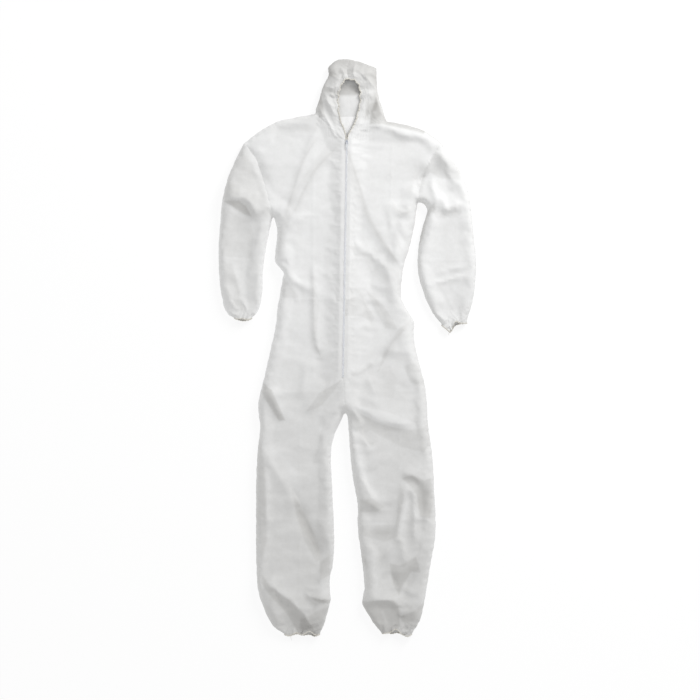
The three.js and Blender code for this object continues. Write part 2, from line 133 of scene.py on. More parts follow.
# Each fold is (height, gentle width, steep width, points): its steep side lies to the left of its direction.
FOLDS = [
    (6, 26, 7, [(-195, 410), (-175, 480), (-150, 560), (-120, 645), (-90, 705)]),
    (11, 48, 15, [(-192, 375), (-150, 485), (-95, 575), (-28, 632)]),
    (13, 52, 14, [(172, 260), (110, 340), (55, 435), (25, 515), (6, 605)]),
    (8, 36, 24, [(160, 130), (138, 225), (80, 290), (10, 322)]),
    (-4, 20, 28, [(8, 308), (65, 250), (82, 165), (120, 95), (165, 55)]),
    (6, 22, 8, [(165, 265), (150, 335), (140, 395), (120, 465)]),
    (5, 14, 7, [(208, 335), (182, 362), (168, 400)]),
    (-7, 16, 9, [(-326, 646), (-280, 580), (-254, 500), (-234, 418)]),
    (-9, 15, 22, [(292, 642), (248, 560), (222, 515), (208, 465)]),
    (15, 34, 8, [(-272, 396), (-292, 428), (-312, 462), (-350, 470), (-405, 470)]),
    (4, 14, 8, [(-262, 468), (-305, 484), (-392, 478)]),
    (6, 26, 12, [(-372, 262), (-350, 215), (-330, 150), (-312, 108)]),
    (5, 16, 9, [(-390, 215), (-372, 160), (-348, 108)]),
    (12, 26, 16, [(345, 560), (315, 592), (285, 612), (255, 575), (236, 540)]),
    (10, 30, 8, [(362, 452), (325, 436), (285, 428)]),
    (9, 30, 9, [(284, 432), (272, 480), (256, 535)]),
    (7, 26, 12, [(238, 300), (256, 365), (276, 424)]),
    (4, 16, 8, [(262, 230), (325, 250), (385, 255)]),
    (4, 14, 8, [(255, 195), (315, 215), (380, 228)]),
    (10, 16, 7, [(133, 470), (152, 440), (170, 424), (195, 430), (212, 458)]),
    (5, 22, 11, [(218, 660), (165, 676), (120, 694), (66, 694)]),
    (8, 26, 9, [(-108, 182), (-155, 197), (-185, 222), (-208, 243)]),
    (7, 16, 6, [(-82, -35), (-104, 25), (-110, 120), (-110, 185), (-110, 275)]),
    (12, 32, 12, [(-205, -232), (-240, -165), (-275, -108)]),
    (9, 26, 12, [(-18, -98), (-60, -132), (-95, -175), (-138, -212)]),
    (6, 26, 14, [(-150, -165), (-140, -100), (-130, -55), (-82, -52)]),
    (13, 38, 12, [(208, -246), (120, -228), (35, -188), (-14, -160)]),
    (7, 18, 8, [(44, -228), (12, -202), (-12, -178)]),
    (5, 18, 9, [(122, -188), (65, -160), (8, -138)]),
    (5, 14, 6, [(102, -28), (60, -64), (25, -85), (-14, -90)]),
    (11, 40, 14, [(120, -35), (140, 5), (170, 50), (212, 80)]),
    (7, 24, 10, [(165, 52), (120, 92), (92, 140), (74, 186)]),
    (8, 22, 16, [(100, -155), (75, -115), (68, -75)]),
    (10, 36, 30, [(-272, -318), (-232, -388), (-186, -450), (-152, -520)]),
    (-11, 26, 13, [(-85, -678), (-100, -620), (-138, -550), (-160, -480), (-180, -430)]),
    (7, 20, 12, [(-258, -585), (-265, -480), (-268, -385)]),
    (13, 42, 14, [(-105, -895), (-150, -828), (-220, -768), (-272, -732)]),
    (9, 20, 7, [(-50, -794), (-100, -788), (-138, -766)]),
    (6, 16, 8, [(-94, -732), (-70, -720), (-48, -700)]),
    (4, 9, 5, [(-80, -754), (-100, -760), (-126, -754)]),
    (7, 26, 14, [(-82, -258), (-70, -290), (-48, -345)]),
    (7, 14, 6, [(45, -262), (55, -300), (70, -322), (92, -302)]),
    (9, 30, 14, [(4, -240), (20, -350), (48, -435), (98, -500)]),
    (8, 22, 10, [(122, -510), (90, -506), (60, -494), (42, -520)]),
    (8, 20, 9, [(240, -432), (225, -410), (195, -398), (172, -412)]),
    (11, 22, 10, [(152, -612), (168, -530), (180, -465), (195, -444), (214, -465), (217, -540),
        (214, -620)]),
    (8, 18, 7, [(274, -532), (240, -534), (212, -544)]),
    (6, 16, 8, [(272, -410), (255, -420), (238, -432)]),
    (9, 22, 9, [(98, -672), (135, -628), (163, -600), (180, -645), (186, -692)]),
    (-9, 20, 14, [(132, -688), (152, -745), (170, -772), (195, -728), (222, -695)]),
    (10, 30, 8, [(158, -835), (142, -800), (90, -794), (44, -800)]),
    (4, 9, 5, [(232, -768), (205, -772), (178, -758)]),
    (6, 14, 8, [(192, -828), (178, -836), (158, -840)]),
    (8, 20, 10, [(48, -658), (60, -630), (85, -655), (75, -730), (68, -790)]),
    (5.0, 12, 7, [(-60, 866), (-45, 856), (-22, 844)]),
    (3.6, 8, 5, [(-8, 847), (-13, 866), (-24, 884)]),
    (-3.6, 7, 6, [(2, 880), (-4, 852)]),
    (4.3, 9, 5, [(24, 846), (18, 862), (21, 890)]),
    (5.0, 8, 4, [(-24, 822), (-39, 819), (-56, 811)]),
    (-3.6, 6, 5, [(-29, 804), (-46, 801), (-62, 808)]),
    (4.3, 6, 4, [(-29, 795), (-46, 793), (-60, 799)]),
    (-3.6, 7, 5, [(-31, 784), (-49, 786), (-60, 796)]),
    (6.5, 17, 6, [(-28, 716), (-44, 743), (-63, 772), (-76, 806)]),
    (4.3, 10, 5, [(-66, 722), (-85, 741), (-97, 764)]),
    (3.6, 9, 5, [(-30, 760), (-44, 758), (-58, 768)]),
    (3.6, 14, 7, [(-36, 660), (-54, 695), (-72, 732)]),
    (5.0, 12, 6, [(93, 816), (68, 841), (44, 861)]),
    (3.6, 6, 4, [(36, 820), (55, 833), (66, 838)]),
    (-3.6, 6, 5, [(39, 808), (58, 815), (70, 812)]),
    (5.0, 12, 7, [(40, 782), (60, 799), (84, 803)]),
    (-4.5, 15, 9, [(88, 794), (68, 752), (46, 722)]),
    (3.6, 9, 5, [(38, 752), (47, 764), (56, 782)]),
    (4.3, 16, 8, [(12, 662), (30, 695), (44, 728)]),
    (3.6, 18, 9, [(48, 674), (75, 699), (116, 711)]),
]

# ---------------------------------------------------------------- tones: painted shade and painted light

# Painted shade of folds and of doubled and thin cloth, and painted light where the depth is below 0: (how
# much darker, blur of its edge, corners).
SHADE_PATCHES = [
    (0.12, 5, [(-61, 876), (-37, 866), (-24, 850), (-40, 850), (-61, 860)]),
    (0.16, 4, [(-87, 803), (-80, 781), (-74, 743), (-68, 728), (-90, 725), (-93, 769)]),
    (0.10, 5, [(-77, 828), (-55, 819), (-33, 806), (-27, 791), (-46, 791), (-71, 809)]),
    (0.10, 6, [(49, 860), (71, 866), (93, 854), (93, 825), (68, 838)]),
    (0.12, 8, [(58, 743), (68, 769), (96, 775), (90, 750), (58, 728)]),
    (0.08, 9, [(-93, 886), (-20, 912), (40, 904), (93, 888), (93, 846), (40, 866), (-24, 862), (-66, 846)]),
    (0.09, 9, [(62, 782), (88, 800), (110, 742), (92, 720), (52, 716)]),
    (0.25, 9, [(90, 790), (104, 745), (125, 720), (181, 711), (247, 690), (240, 676), (160, 694), (110, 704),
        (70, 704), (76, 745)]),
    (0.10, 18, [(-335, 640), (-272, 520), (-240, 420), (-300, 410), (-395, 466), (-385, 530), (-352, 600)]),
    (0.09, 8, [(-334, 652), (-280, 580), (-258, 505), (-235, 413), (-263, 261), (-270, 151), (-300, 90),
        (-360, 90), (-414, 200), (-414, 400), (-388, 529)]),
    (0.08, 12, [(-395, 472), (-376, 523), (-339, 510), (-339, 478)]),
    (0.035, 30, [(60, 640), (240, 650), (250, 480), (200, 330), (90, 330)]),
    (0.03, 12, [(222, 275), (255, 130), (300, 70), (380, 80), (412, 200), (412, 390), (240, 400)]),
    (0.20, 5, [(-390, 463), (-339, 463), (-320, 447), (-301, 413), (-326, 422), (-364, 447)]),
    (0.07, 6, [(-395, 441), (-307, 397), (-298, 365), (-301, 284), (-398, 290)]),
    (0.09, 8, [(-398, 277), (-364, 265), (-345, 198), (-330, 120), (-351, 113), (-383, 183)]),
    (0.12, 6, [(225, 535), (279, 617), (317, 605), (354, 561), (357, 529), (291, 535), (260, 554),
        (232, 529)]),
    (0.16, 6, [(272, 457), (279, 435), (254, 416), (244, 372), (228, 324), (222, 340), (241, 403),
        (254, 435)]),
    (0.08, 6, [(272, 428), (354, 457), (361, 428), (348, 410), (279, 410)]),
    (0.06, 12, [(-55, 655), (-30, 643), (-150, 498), (-187, 388), (-203, 277), (-225, 293), (-200, 435),
        (-143, 535)]),
    (0.07, 9, [(2, 624), (14, 592), (77, 403), (159, 271), (175, 230), (146, 271), (65, 388), (-8, 576)]),
    (0.06, 8, [(-8, 324), (46, 293), (77, 230), (165, 164), (172, 198), (159, 252), (128, 290), (102, 309),
        (77, 315)]),
    (0.10, 6, [(-210, 227), (-191, 211), (-162, 173), (-150, 158), (-203, 158), (-210, 183)]),
    (0.08, 5, [(-8, 151), (33, 161), (58, 139), (87, 95), (77, 82), (46, 101), (-8, 101)]),
    (0.09, 6, [(58, 183), (115, 132), (140, 95), (159, 57), (118, 63), (90, 113)]),
    (0.10, 7, [(165, 63), (206, 95), (181, 57), (140, 13), (121, -32), (96, -76), (115, -13)]),
    (0.05, 8, [(65, -76), (134, -54), (156, -95), (146, -158), (96, -154)]),
    (0.08, 6, [(178, -57), (210, -44), (241, -91), (247, -120), (197, -110)]),
    (0.07, 5, [(-112, 198), (-87, 151), (-99, 25), (-80, -38), (-109, 19)]),
    (0.12, 5, [(-131, -202), (-87, -139), (-20, -101), (-43, -135), (-80, -180)]),
    (0.22, 6, [(-266, -110), (-238, -132), (-197, -227), (-216, -230), (-257, -164), (-269, -142)]),
    (0.09, 8, [(-2, -195), (33, -202), (102, -239), (181, -258), (228, -255), (254, -239), (260, -306),
        (241, -328), (165, -309), (71, -258), (46, -277), (14, -227)]),
    (-0.06, 5, [(-20, -170), (27, -180), (118, -198), (222, -239), (203, -258), (140, -249), (77, -224),
        (8, -192)]),
    (0.10, 10, [(-276, -290), (-263, -353), (-257, -479), (-254, -605), (-269, -668), (-285, -542),
        (-285, -353)]),
    (0.10, 8, [(-175, -447), (-162, -479), (-118, -558), (-93, -620), (-83, -668), (-99, -674), (-137, -605),
        (-162, -526)]),
    (0.12, 8, [(-87, -674), (-55, -652), (-55, -715), (-87, -731)]),
    (0.14, 8, [(-269, -715), (-244, -747), (-181, -794), (-134, -841), (-106, -888), (-93, -907),
        (-156, -901), (-194, -832), (-244, -778), (-269, -743)]),
    (0.12, 10, [(-150, -857), (-55, -810), (-68, -857), (-93, -907), (-150, -907)]),
    (0.15, 4, [(-112, -788), (-52, -794), (-52, -806), (-93, -800)]),
    (0.14, 7, [(172, -410), (203, -400), (241, -416), (263, -410), (272, -479), (260, -536), (228, -529),
        (219, -463), (191, -428)]),
    (0.10, 7, [(39, -479), (77, -472), (115, -501), (96, -517), (39, -517)]),
    (0.08, 7, [(165, -416), (178, -463), (165, -542), (153, -558), (159, -479)]),
    (0.07, 7, [(46, -558), (150, -558), (165, -542), (153, -598), (118, -611), (52, -592)]),
    (0.15, 7, [(134, -680), (165, -687), (216, -658), (232, -709), (203, -706), (178, -743), (162, -781),
        (146, -747), (137, -706)]),
    (0.16, 5, [(46, -800), (96, -794), (146, -794), (162, -813), (165, -876), (153, -907), (109, -907),
        (58, -851)]),
    (0.12, 7, [(165, -847), (203, -832), (244, -800), (241, -838), (216, -882), (172, -863)]),
]
# Painted shade along creases and painted light on pale crests, as strokes like the folds: how much darker,
# the two widths and the points.
SHADES = [
    (0.09, 5, 5, [(-88, 672), (-128, 612), (-152, 555), (-176, 478), (-195, 415)]),
    (0.11, 5, 10, [(-20, 645), (-65, 600), (-104, 556), (-140, 490), (-165, 435), (-188, 400)]),
    (0.085, 5, 6, [(2, 625), (18, 565), (40, 500), (58, 430), (80, 385), (112, 330), (142, 290),
        (166, 252)]),
    (0.07, 6, 7, [(2, 182), (25, 184), (45, 160), (60, 120), (82, 62), (100, 58)]),
    (0.08, 8, 12, [(72, 182), (100, 130), (130, 85), (165, 55)]),
    (0.045, 5, 7, [(-109, 250), (-108, 150), (-106, 60), (-98, 0), (-84, -32)]),
    (0.07, 9, 8, [(212, 82), (170, 50), (150, 20), (128, -30)]),
    (0.06, 8, 6, [(-10, -78), (30, -82), (60, -65), (100, -30)]),
    (0.06, 5, 5, [(140, 372), (160, 330), (176, 280)]),
    (0.05, 4, 4, [(118, 535), (132, 545), (152, 522)]),
    (0.12, 6, 9, [(133, 470), (152, 440), (172, 424), (195, 430), (210, 455)]),
    (0.05, 11, 11, [(262, 600), (235, 565), (205, 520), (195, 470)]),
    (0.05, 12, 12, [(-222, 395), (-218, 340), (-222, 290)]),
    (0.05, 15, 15, [(25, 600), (16, 300), (10, -50)]),
    (0.10, 9, 9, [(222, 694), (262, 676), (296, 648), (328, 606)]),
    (0.03, 9, 5, [(72, 692), (120, 690), (165, 672), (205, 660)]),
    (-0.05, 18, 18, [(-228, -285), (-205, -340), (-170, -390), (-152, -450), (-132, -520)]),
    (0.12, 12, 14, [(-165, -440), (-156, -500), (-135, -560), (-110, -610), (-88, -665)]),
    (-0.07, 12, 12, [(-92, -722), (-76, -755), (-62, -785)]),
    (0.10, 5, 7, [(-118, -775), (-98, -790), (-50, -797)]),
    (-0.06, 14, 14, [(18, -240), (33, -320), (52, -400), (85, -460), (112, -492)]),
    (0.07, 6, 6, [(52, -262), (62, -290), (78, -300), (95, -285)]),
    (-0.06, 3, 3, [(58, -308), (70, -322), (84, -310)]),
    (0.10, 8, 8, [(45, -480), (70, -490), (100, -512)]),
    (-0.06, 14, 12, [(62, -548), (95, -556), (130, -550)]),
    (0.07, 10, 12, [(75, -582), (115, -584), (150, -578)]),
    (0.09, 7, 9, [(170, -412), (188, -405), (212, -412), (228, -434)]),
    (0.10, 16, 18, [(242, -425), (240, -480), (252, -545)]),
    (-0.08, 6, 9, [(194, -452), (180, -520), (164, -598)]),
    (-0.05, 6, 6, [(203, -468), (212, -520), (214, -575)]),
    (-0.06, 18, 18, [(118, -662), (150, -645), (165, -620)]),
    (-0.06, 9, 9, [(52, -642), (78, -660), (88, -715), (94, -778)]),
    (0.10, 6, 6, [(44, -650), (54, -672), (66, -690)]),
    (-0.06, 6, 6, [(150, -690), (182, -692), (196, -664)]),
    (-0.05, 12, 16, [(178, -760), (205, -775), (222, -810)]),
    (0.10, 4, 5, [(158, -842), (170, -850), (186, -842)]),
    (-0.07, 5, 5, [(106, -822), (118, -852), (128, -884)]),
]
# Painted shade at heights up the suit, for the studio light's falloff: the cloth greys a little towards the
# hood and the ankles.
FALLOFF_SHADE_Y = [-910, -840, -780, -650, -520, -350, -150, 50, 300, 640, 700, 760, 914]
FALLOFF_SHADE = [0.73, 0.77, 0.81, 0.82, 0.84, 0.87, 0.90, 0.97, 0.99, 0.98, 0.93, 0.84, 0.75]
PATCH_GAIN = 0.75
PATCH_BLUR = 0.5

# ---------------------------------------------------------------- plane geometry


def catmull(points, closed=False, per_span=12):
    """A smooth line of points through the given ones, in the plane."""
    p = np.array(points, float)
    if closed:
        p = np.vstack([p[-1], p, p[0], p[1]])
    else:
        p = np.vstack([2 * p[0] - p[1], p, 2 * p[-1] - p[-2]])
    out = []
    for i in range(1, len(p) - 2):
        a, b, c, d = p[i - 1 : i + 3]
        for t in np.arange(per_span) / per_span:
            cubic = (2 * a - 5 * b + 4 * c - d) * t**2 + (3 * b - a - 3 * c + d) * t**3
            out.append(0.5 * (2 * b + (c - a) * t + cubic))
    if not closed:
        out.append(p[-2])
    return np.array(out)


def spaced(line, step):
    """The line again, with its points about a step apart and its two ends kept."""
    lengths = np.hypot(*np.diff(line, axis=0).T)
    along = np.concatenate([[0], np.cumsum(lengths)])
    count = max(1, round(along[-1] / step))
    wanted = np.linspace(0, along[-1], count + 1)
    return np.column_stack([np.interp(wanted, along, line[:, k]) for k in range(2)])


def nearest(points, line):
    """Each point's distance to the line, the arc length there, and its side, +1 on the line's left."""
    best, arc, side = (np.full(len(points), value) for value in (np.inf, 0.0, 1.0))
    gone = 0.0
    for a, b in zip(line[:-1], line[1:]):
        ab = b - a
        length = np.hypot(*ab)
        if length < 1e-9:
            continue
        t = np.clip((points - a) @ ab / length**2, 0, 1)
        away = points - (a + t[:, None] * ab)
        distance = np.hypot(*away.T)
        closer = distance < best
        best[closer] = distance[closer]
        arc[closer] = gone + t[closer] * length
        turn = ab[0] * away[:, 1] - ab[1] * away[:, 0]
        side[closer] = np.where(turn[closer] >= 0, 1, -1)
        gone += length
    return best, arc, side, gone


def distance_to(line, points):
    return nearest(points, line)[0]


def inside(points, ring):
    """True for each point within the closed ring."""
    result = np.zeros(len(points), bool)
    x, y = points.T
    for (x0, y0), (x1, y1) in zip(ring, np.roll(ring, -1, axis=0)):
        crosses = (y0 > y) != (y1 > y)
        with np.errstate(divide="ignore", invalid="ignore"):
            at = (x1 - x0) * (y - y0) / (y1 - y0) + x0
        result ^= crosses & (x < at)
    return result


def smoothstep(low, high, value):
    t = np.clip((value - low) / (high - low), 0, 1)
    return t * t * (3 - 2 * t)


# ---------------------------------------------------------------- the lie of the cloth

STEP = 10.5
EDGE_STEP = 0.8 * STEP
FINE_STEP = 5
MOUTH_STEP = 4
LEAST_GAP = 0.62  # of a step, between a point of the lattice and a line
rng = np.random.default_rng(7)


class Plane:
    """Points and seam edges in the plane, which become one layer's triangles."""

    def __init__(self):
        self.points = []
        self.edges = []

    def snap(self, point, reach):
        if self.points:
            known = np.array(self.points)
            away = np.hypot(*(known - point).T)
            if away.min() < reach:
                return int(away.argmin())
        self.points.append(np.array(point, float))
        return len(self.points) - 1

    def add_line(self, line, reach):
        ids = [self.snap(p, reach) for p in line]
        self.edges += [(a, b) for a, b in zip(ids[:-1], ids[1:]) if a != b]


def outline_ring():
    """The outline's points, and for each the kind of the stretch that starts there."""
    points, kinds = [], []
    for kind, corners in OUTLINE:
        line = spaced(catmull(corners), MOUTH_STEP if kind == MOUTH else EDGE_STEP)
        points += list(line[:-1])
        kinds += [kind] * (len(line) - 1)
    return np.array(points), kinds


RING, RING_KINDS = outline_ring()
CLOSED_LINES = [catmull(corners) for kind, corners in OUTLINE if kind == CLOSED]
MOUTH_LINES = [catmull(corners) for kind, corners in OUTLINE if kind == MOUTH]


def zip_edge(side):
    """The front edge on one side of the zip, from its top down."""
    along = ZIP_FOOT - ZIP_TOP
    across = Vector((along.y, -along.x)).normalized() * -side
    top, foot = ZIP_TOP + across * ZIP_SLOT, ZIP_FOOT + across * ZIP_SLOT
    return spaced(np.array([top, foot]), FINE_STEP)


FACE_LINE = np.vstack([catmull(FACE_RIGHT), catmull(FACE_LEFT)[1:]])
ZIP_LINE = np.array([ZIP_TOP, ZIP_FOOT])
CLEAR_OF_ZIP = 12  # where the face's edge begins, from the zip's top


def front_opening():
    """The hole in the front: up the zip's right edge, round the face and down its left edge."""
    face = spaced(FACE_LINE, MOUTH_STEP)
    clear = np.hypot(*(face - ZIP_LINE[0]).T) > CLEAR_OF_ZIP
    return np.vstack([zip_edge(-1)[::-1], face[clear], zip_edge(1)])


OPENING = front_opening()


def fine_zone(points):
    """True where the cloth is gathered finely: the hood, the zip, the cuffs and the ankles."""
    fine = (distance_to(ZIP_LINE, points) < 34) | (distance_to(FACE_LINE, points) < 75)
    for line in MOUTH_LINES:
        fine |= distance_to(line, points) < 52
    return fine


def lattice(step):
    """A staggered grid over the suit, each point moved a little at random."""
    low, high = RING.min(0), RING.max(0)
    rows = np.arange(low[1], high[1], step * math.sqrt(3) / 2)
    points = []
    for i, y in enumerate(rows):
        x = np.arange(low[0] + (i % 2) * step / 2, high[0], step)
        points.append(np.column_stack([x, np.full(len(x), y)]))
    points = np.vstack(points)
    return points + rng.uniform(-0.16, 0.16, points.shape) * step


def layer_triangles(seams, hole, fine):
    """Triangles of one layer of the suit: its points, its faces and how many points the ring takes."""
    plane = Plane()
    plane.points = list(RING)
    plane.edges = [(i, (i + 1) % len(RING)) for i in range(len(RING))]
    if hole is not None:
        ids = [plane.snap(p, 0.5) for p in hole]
        plane.edges += list(zip(ids, ids[1:] + ids[:1]))
    for seam in seams:
        plane.add_line(spaced(catmull(seam), EDGE_STEP), reach=4.5)
    coarse, dense = lattice(STEP), lattice(FINE_STEP) if fine else np.zeros((0, 2))
    if fine:
        coarse = coarse[~fine_zone(coarse)]
        dense = dense[fine_zone(dense)]
    known = np.array(plane.points)
    for points, gap in ((coarse, STEP * LEAST_GAP), (dense, FINE_STEP * LEAST_GAP)):
        points = points[inside(points, RING)]
        if hole is not None:
            points = points[~inside(points, hole)]
        for start in range(0, len(points), 2000):
            part = points[start : start + 2000]
            away = np.sqrt(((part[:, None] - known[None]) ** 2).sum(2)).min(1)
            plane.points += list(part[away > gap])
    verts, _, faces, origins, _, _ = delaunay_2d_cdt(
        [Vector(p) for p in plane.points], plane.edges, [], 0, 1e-5, True
    )
    verts, faces = np.array(verts), np.array(faces)
    order = np.full(len(verts), -1)
    for i, came_from in enumerate(origins):
        ring = [o for o in came_from if o < len(RING)]
        if ring:
            order[i] = ring[0]
    centres = verts[faces].mean(1)
    keep = inside(centres, RING)
    if hole is not None:
        keep &= ~inside(centres, hole)
    return verts, faces[keep], order


def tree_of(lines, step=0.25):
    """The points of some lines in the plane, a step apart, for quick searches."""
    points = np.vstack([spaced(line, step) for line in lines])
    tree = KDTree(len(points))
    for i, (x, y) in enumerate(points):
        tree.insert((x, y, 0), i)
    tree.balance()
    return tree


CLOSED_EDGE = tree_of(CLOSED_LINES)


def edge_distance(points):
    """How far each point is from the suit's closed edges."""
    return np.array([CLOSED_EDGE.find((x, y, 0))[2] for x, y in points])


# How high the puffed cloth stands away from its edges, at heights up the suit.
TRUNK_LOFT = ([-910, -870, -780, -230, 100, 600, 740, 860, 914], [16, 28, 38, 42, 42, 46, 42, 40, 26])
ARM_LOFT = ([50, 100, 170, 300, 450, 640], [14, 22, 29, 32, 38, 44])


def beyond(armhole, points, side):
    """How far out on the arm each point is from the armhole: less than 0 on the body."""
    (foot_x, foot_y), (top_x, top_y) = armhole[-1], armhole[0]
    edge = np.interp(points[:, 1], [foot_y, top_y], [foot_x, top_x])
    return distance_to(catmull(armhole), points) * np.where(side * points[:, 0] > side * edge, 1, -1)


def loft(points):
    """How high the puffed cloth stands, with the arms' heights blended in at the armholes."""
    x, y = points.T
    right, left = beyond(ARMHOLE_RIGHT, points, -1), beyond(ARMHOLE_LEFT, points, 1)
    on_arm = smoothstep(-40, 60, np.maximum(right, left))
    on_arm = np.where((y < 440) & (np.abs(x + 8) > 225) & (y > 0), 1, on_arm)
    on_arm = np.where(y < 40, 0, on_arm)
    return np.interp(y, *TRUNK_LOFT) * (1 - on_arm) + np.interp(y, *ARM_LOFT) * on_arm


def chance(cells, i, j, seed):
    """A steady random number from -1 to 1 for each cell of a grid, i and j cells on."""
    turned = np.sin((cells[:, 0] + i) * 127.1 + (cells[:, 1] + j) * 311.7 + seed * 74.7) * 43758.5453
    return 2 * (turned - np.floor(turned)) - 1


def wavy(points, scale, seed):
    """Smooth noise from -1 to 1 over the plane; scale is the size of its bumps."""
    cells = np.floor(points / scale)
    u, v = smoothstep(0, 1, points / scale - cells).T
    low = chance(cells, 0, 0, seed) * (1 - u) + chance(cells, 1, 0, seed) * u
    high = chance(cells, 0, 1, seed) * (1 - u) + chance(cells, 1, 1, seed) * u
    return low * (1 - v) + high * v


def facets(points, size, longer, turn, seed):
    """Flat facets that meet in creases, from -1 to 1: about size wide, and longer times that along turn."""
    sway = [wavy(points, 1.6 * size, seed + n) for n in (1, 2)]
    bent = points + 0.3 * size * np.column_stack(sway)
    along = bent @ (math.cos(turn), math.sin(turn)) / (size * longer)
    across = bent @ (-math.sin(turn), math.cos(turn)) / size
    skewed = np.column_stack([across + along / math.sqrt(3), 2 * along / math.sqrt(3)])
    cells = np.floor(skewed)
    u, v = (skewed - cells).T
    right, up = chance(cells, 1, 0, seed), chance(cells, 0, 1, seed)
    near, far = chance(cells, 0, 0, seed), chance(cells, 1, 1, seed)
    lower = near + u * (right - near) + v * (up - near)
    upper = far + (1 - u) * (up - far) + (1 - v) * (right - far)
    return np.where(u + v < 1, lower, upper)


FOLD_GAIN = 1.35
HIGH, MOST_OVER = 50, 7  # above this height folds flatten, as the loose cloth sinks, and how far they go
FOLD_CREST = 1.15  # 1 makes a sharp crest and 2 a round one


def stroked(points, strokes):
    """The sum of some strokes at each point: each is highest on its line and fades to its sides and ends."""
    total = np.zeros(len(points))
    for height, gentle, steep, path in strokes:
        line = catmull(path, per_span=6)
        reach = 2.6 * max(gentle, steep)
        near = ((points > line.min(0) - reach) & (points < line.max(0) + reach)).all(1)
        distance, arc, side, length = nearest(points[near], line)
        width = np.where(side > 0, steep, gentle)
        shape = np.exp(-((distance / width) ** FOLD_CREST))
        fade = min(45, length / 3)
        ends = smoothstep(-5, fade, arc) * smoothstep(-5, fade, length - arc)
        total[near] += height * shape * ends
    return total


ZIP_SWELL = 0.6  # how much of the way to the zip's height the cloth beside it swells
SWELL_WIDTH = 95
HEM_HEIGHT = 9  # of the closed edges
LIMP_LEGS = 0.55  # how much more the legs crumple
LARGE_FACETS = (4.2, 95, 2.2, 1.45, 3)  # height, then what facets() takes
SMALL_FACETS = (2.0, 42, 1.6, 1.1, 9)
ZIP_FADE = 38  # how far from the tape the cloth still leans to the zip's height
LEAST_HEIGHT = 4


def drape_front(points):
    """Heights of the front layer before it settles."""
    y = points[:, 1]
    edge = edge_distance(points)
    full = loft(points)
    distance = distance_to(ZIP_LINE, points)
    full += ZIP_SWELL * np.exp(-((distance / SWELL_WIDTH) ** 2)) * np.maximum(ZIP_HEIGHT - full, 0)
    rise = np.clip(edge / (full * 1.05), 0, 1)
    height = HEM_HEIGHT + (full - HEM_HEIGHT) * np.sqrt(1 - (1 - rise) ** 2)
    away = smoothstep(0, 30, edge)
    height += away * FOLD_GAIN * stroked(points, FOLDS)
    limp = 1 + LIMP_LEGS * smoothstep(-60, -300, y)
    crumpling = sum(size * facets(points, *shape) for size, *shape in (LARGE_FACETS, SMALL_FACETS))
    height += away * limp * crumpling
    over = np.maximum(height - HIGH, 0)
    height += MOST_OVER * np.tanh(over / MOST_OVER) - over
    at_zip = np.exp(-((np.maximum(distance - TAPE_COVER, 0) / ZIP_FADE) ** 1.6)) * smoothstep(700, 655, y)
    height = height * (1 - at_zip) + ZIP_HEIGHT * at_zip
    return np.maximum(height, LEAST_HEIGHT)


FACE_FLOOR = 31  # how far the hood's back puffs up behind the face


def drape_back(points):
    """Heights of the back layer, on the floor but for its edges and the hood."""
    x, y = points.T
    edge = edge_distance(points)
    fall = np.clip(edge / 16, 0, 1)
    height = 1.2 + 7.8 * (1 - np.sqrt(1 - (1 - fall) ** 2))
    height += smoothstep(20, 45, edge) * (1.4 + 1.4 * wavy(points, 45, 21.0))
    behind_face = (0.75 * smoothstep(885, 855, y) + 0.25 * smoothstep(822, 792, y)) * smoothstep(600, 660, y)
    behind_face *= smoothstep(78, 44, np.abs(x - 4))
    return height + FACE_FLOOR * behind_face


INSIDE_FALLOFF_SHARE = 0.4  # of the outside's painted falloff shade
BROW_SHADOW = 0.24  # painted shadow: how much darker the inside is under the hood's brow
EDGE_SHADE, EDGE_LIGHT, EDGE_WIDTH = 0.19, 0.03, 9  # at the edges that face the light, and at the others


def painted_tones(points, upper):
    """The cloth's tone at each point, 1 at its brightest: painted shade and painted light for the light's
    falloff, the edges, patches and creases.
    """
    x, y = points.T
    tone = np.interp(y, FALLOFF_SHADE_Y, FALLOFF_SHADE)
    if not upper:
        brow_shadow_mask = smoothstep(789, 802, y) * smoothstep(838, 822, y) * smoothstep(60, 40, np.abs(x - 4))
        return 1 - INSIDE_FALLOFF_SHARE * (1 - tone) - BROW_SHADOW * brow_shadow_mask
    lit_side = smoothstep(-60, 160, x + 0.4 * y - 100)
    tone -= (EDGE_SHADE * lit_side - EDGE_LIGHT) * np.exp(-edge_distance(points) / EDGE_WIDTH)
    for depth, blur, corners in SHADE_PATCHES:
        blur *= PATCH_BLUR
        ring = np.array(corners, float)
        near = ((points > ring.min(0) - blur) & (points < ring.max(0) + blur)).all(1)
        here = points[near]
        distance = distance_to(np.vstack([ring, ring[:1]]), here)
        within = np.where(inside(here, ring), distance, -distance)
        tone[near] -= PATCH_GAIN * depth * smoothstep(-blur, blur, within)
    return tone - stroked(points, SHADES)


# ---------------------------------------------------------------- panels

LAYERS = ("front", "back")
PARTS = ("", "sleeve_", "hood_")
REGIONS = [f"{part}{layer}_{side}" for part in PARTS for layer in LAYERS for side in SIDES]
# Where the left arm parts from the body, below the armhole: x at heights up the suit.
ARM_GAP = ([40, 82, 122, 183, 230, 275, 320, 372, 410, 436, 459],
           [250, 235, 225, 200, 198, 200, 210, 222, 228, 236, 226])


def across(seams, points, along=1):
    """Where seams in a row lie across from each point: their x at its y or, with along=0, the reverse."""
    line = np.vstack([np.array(seam, float) for seam in seams])
    line = line[np.argsort(line[:, along], kind="stable")]
    return np.interp(points[:, along], line[:, along], line[:, 1 - along])


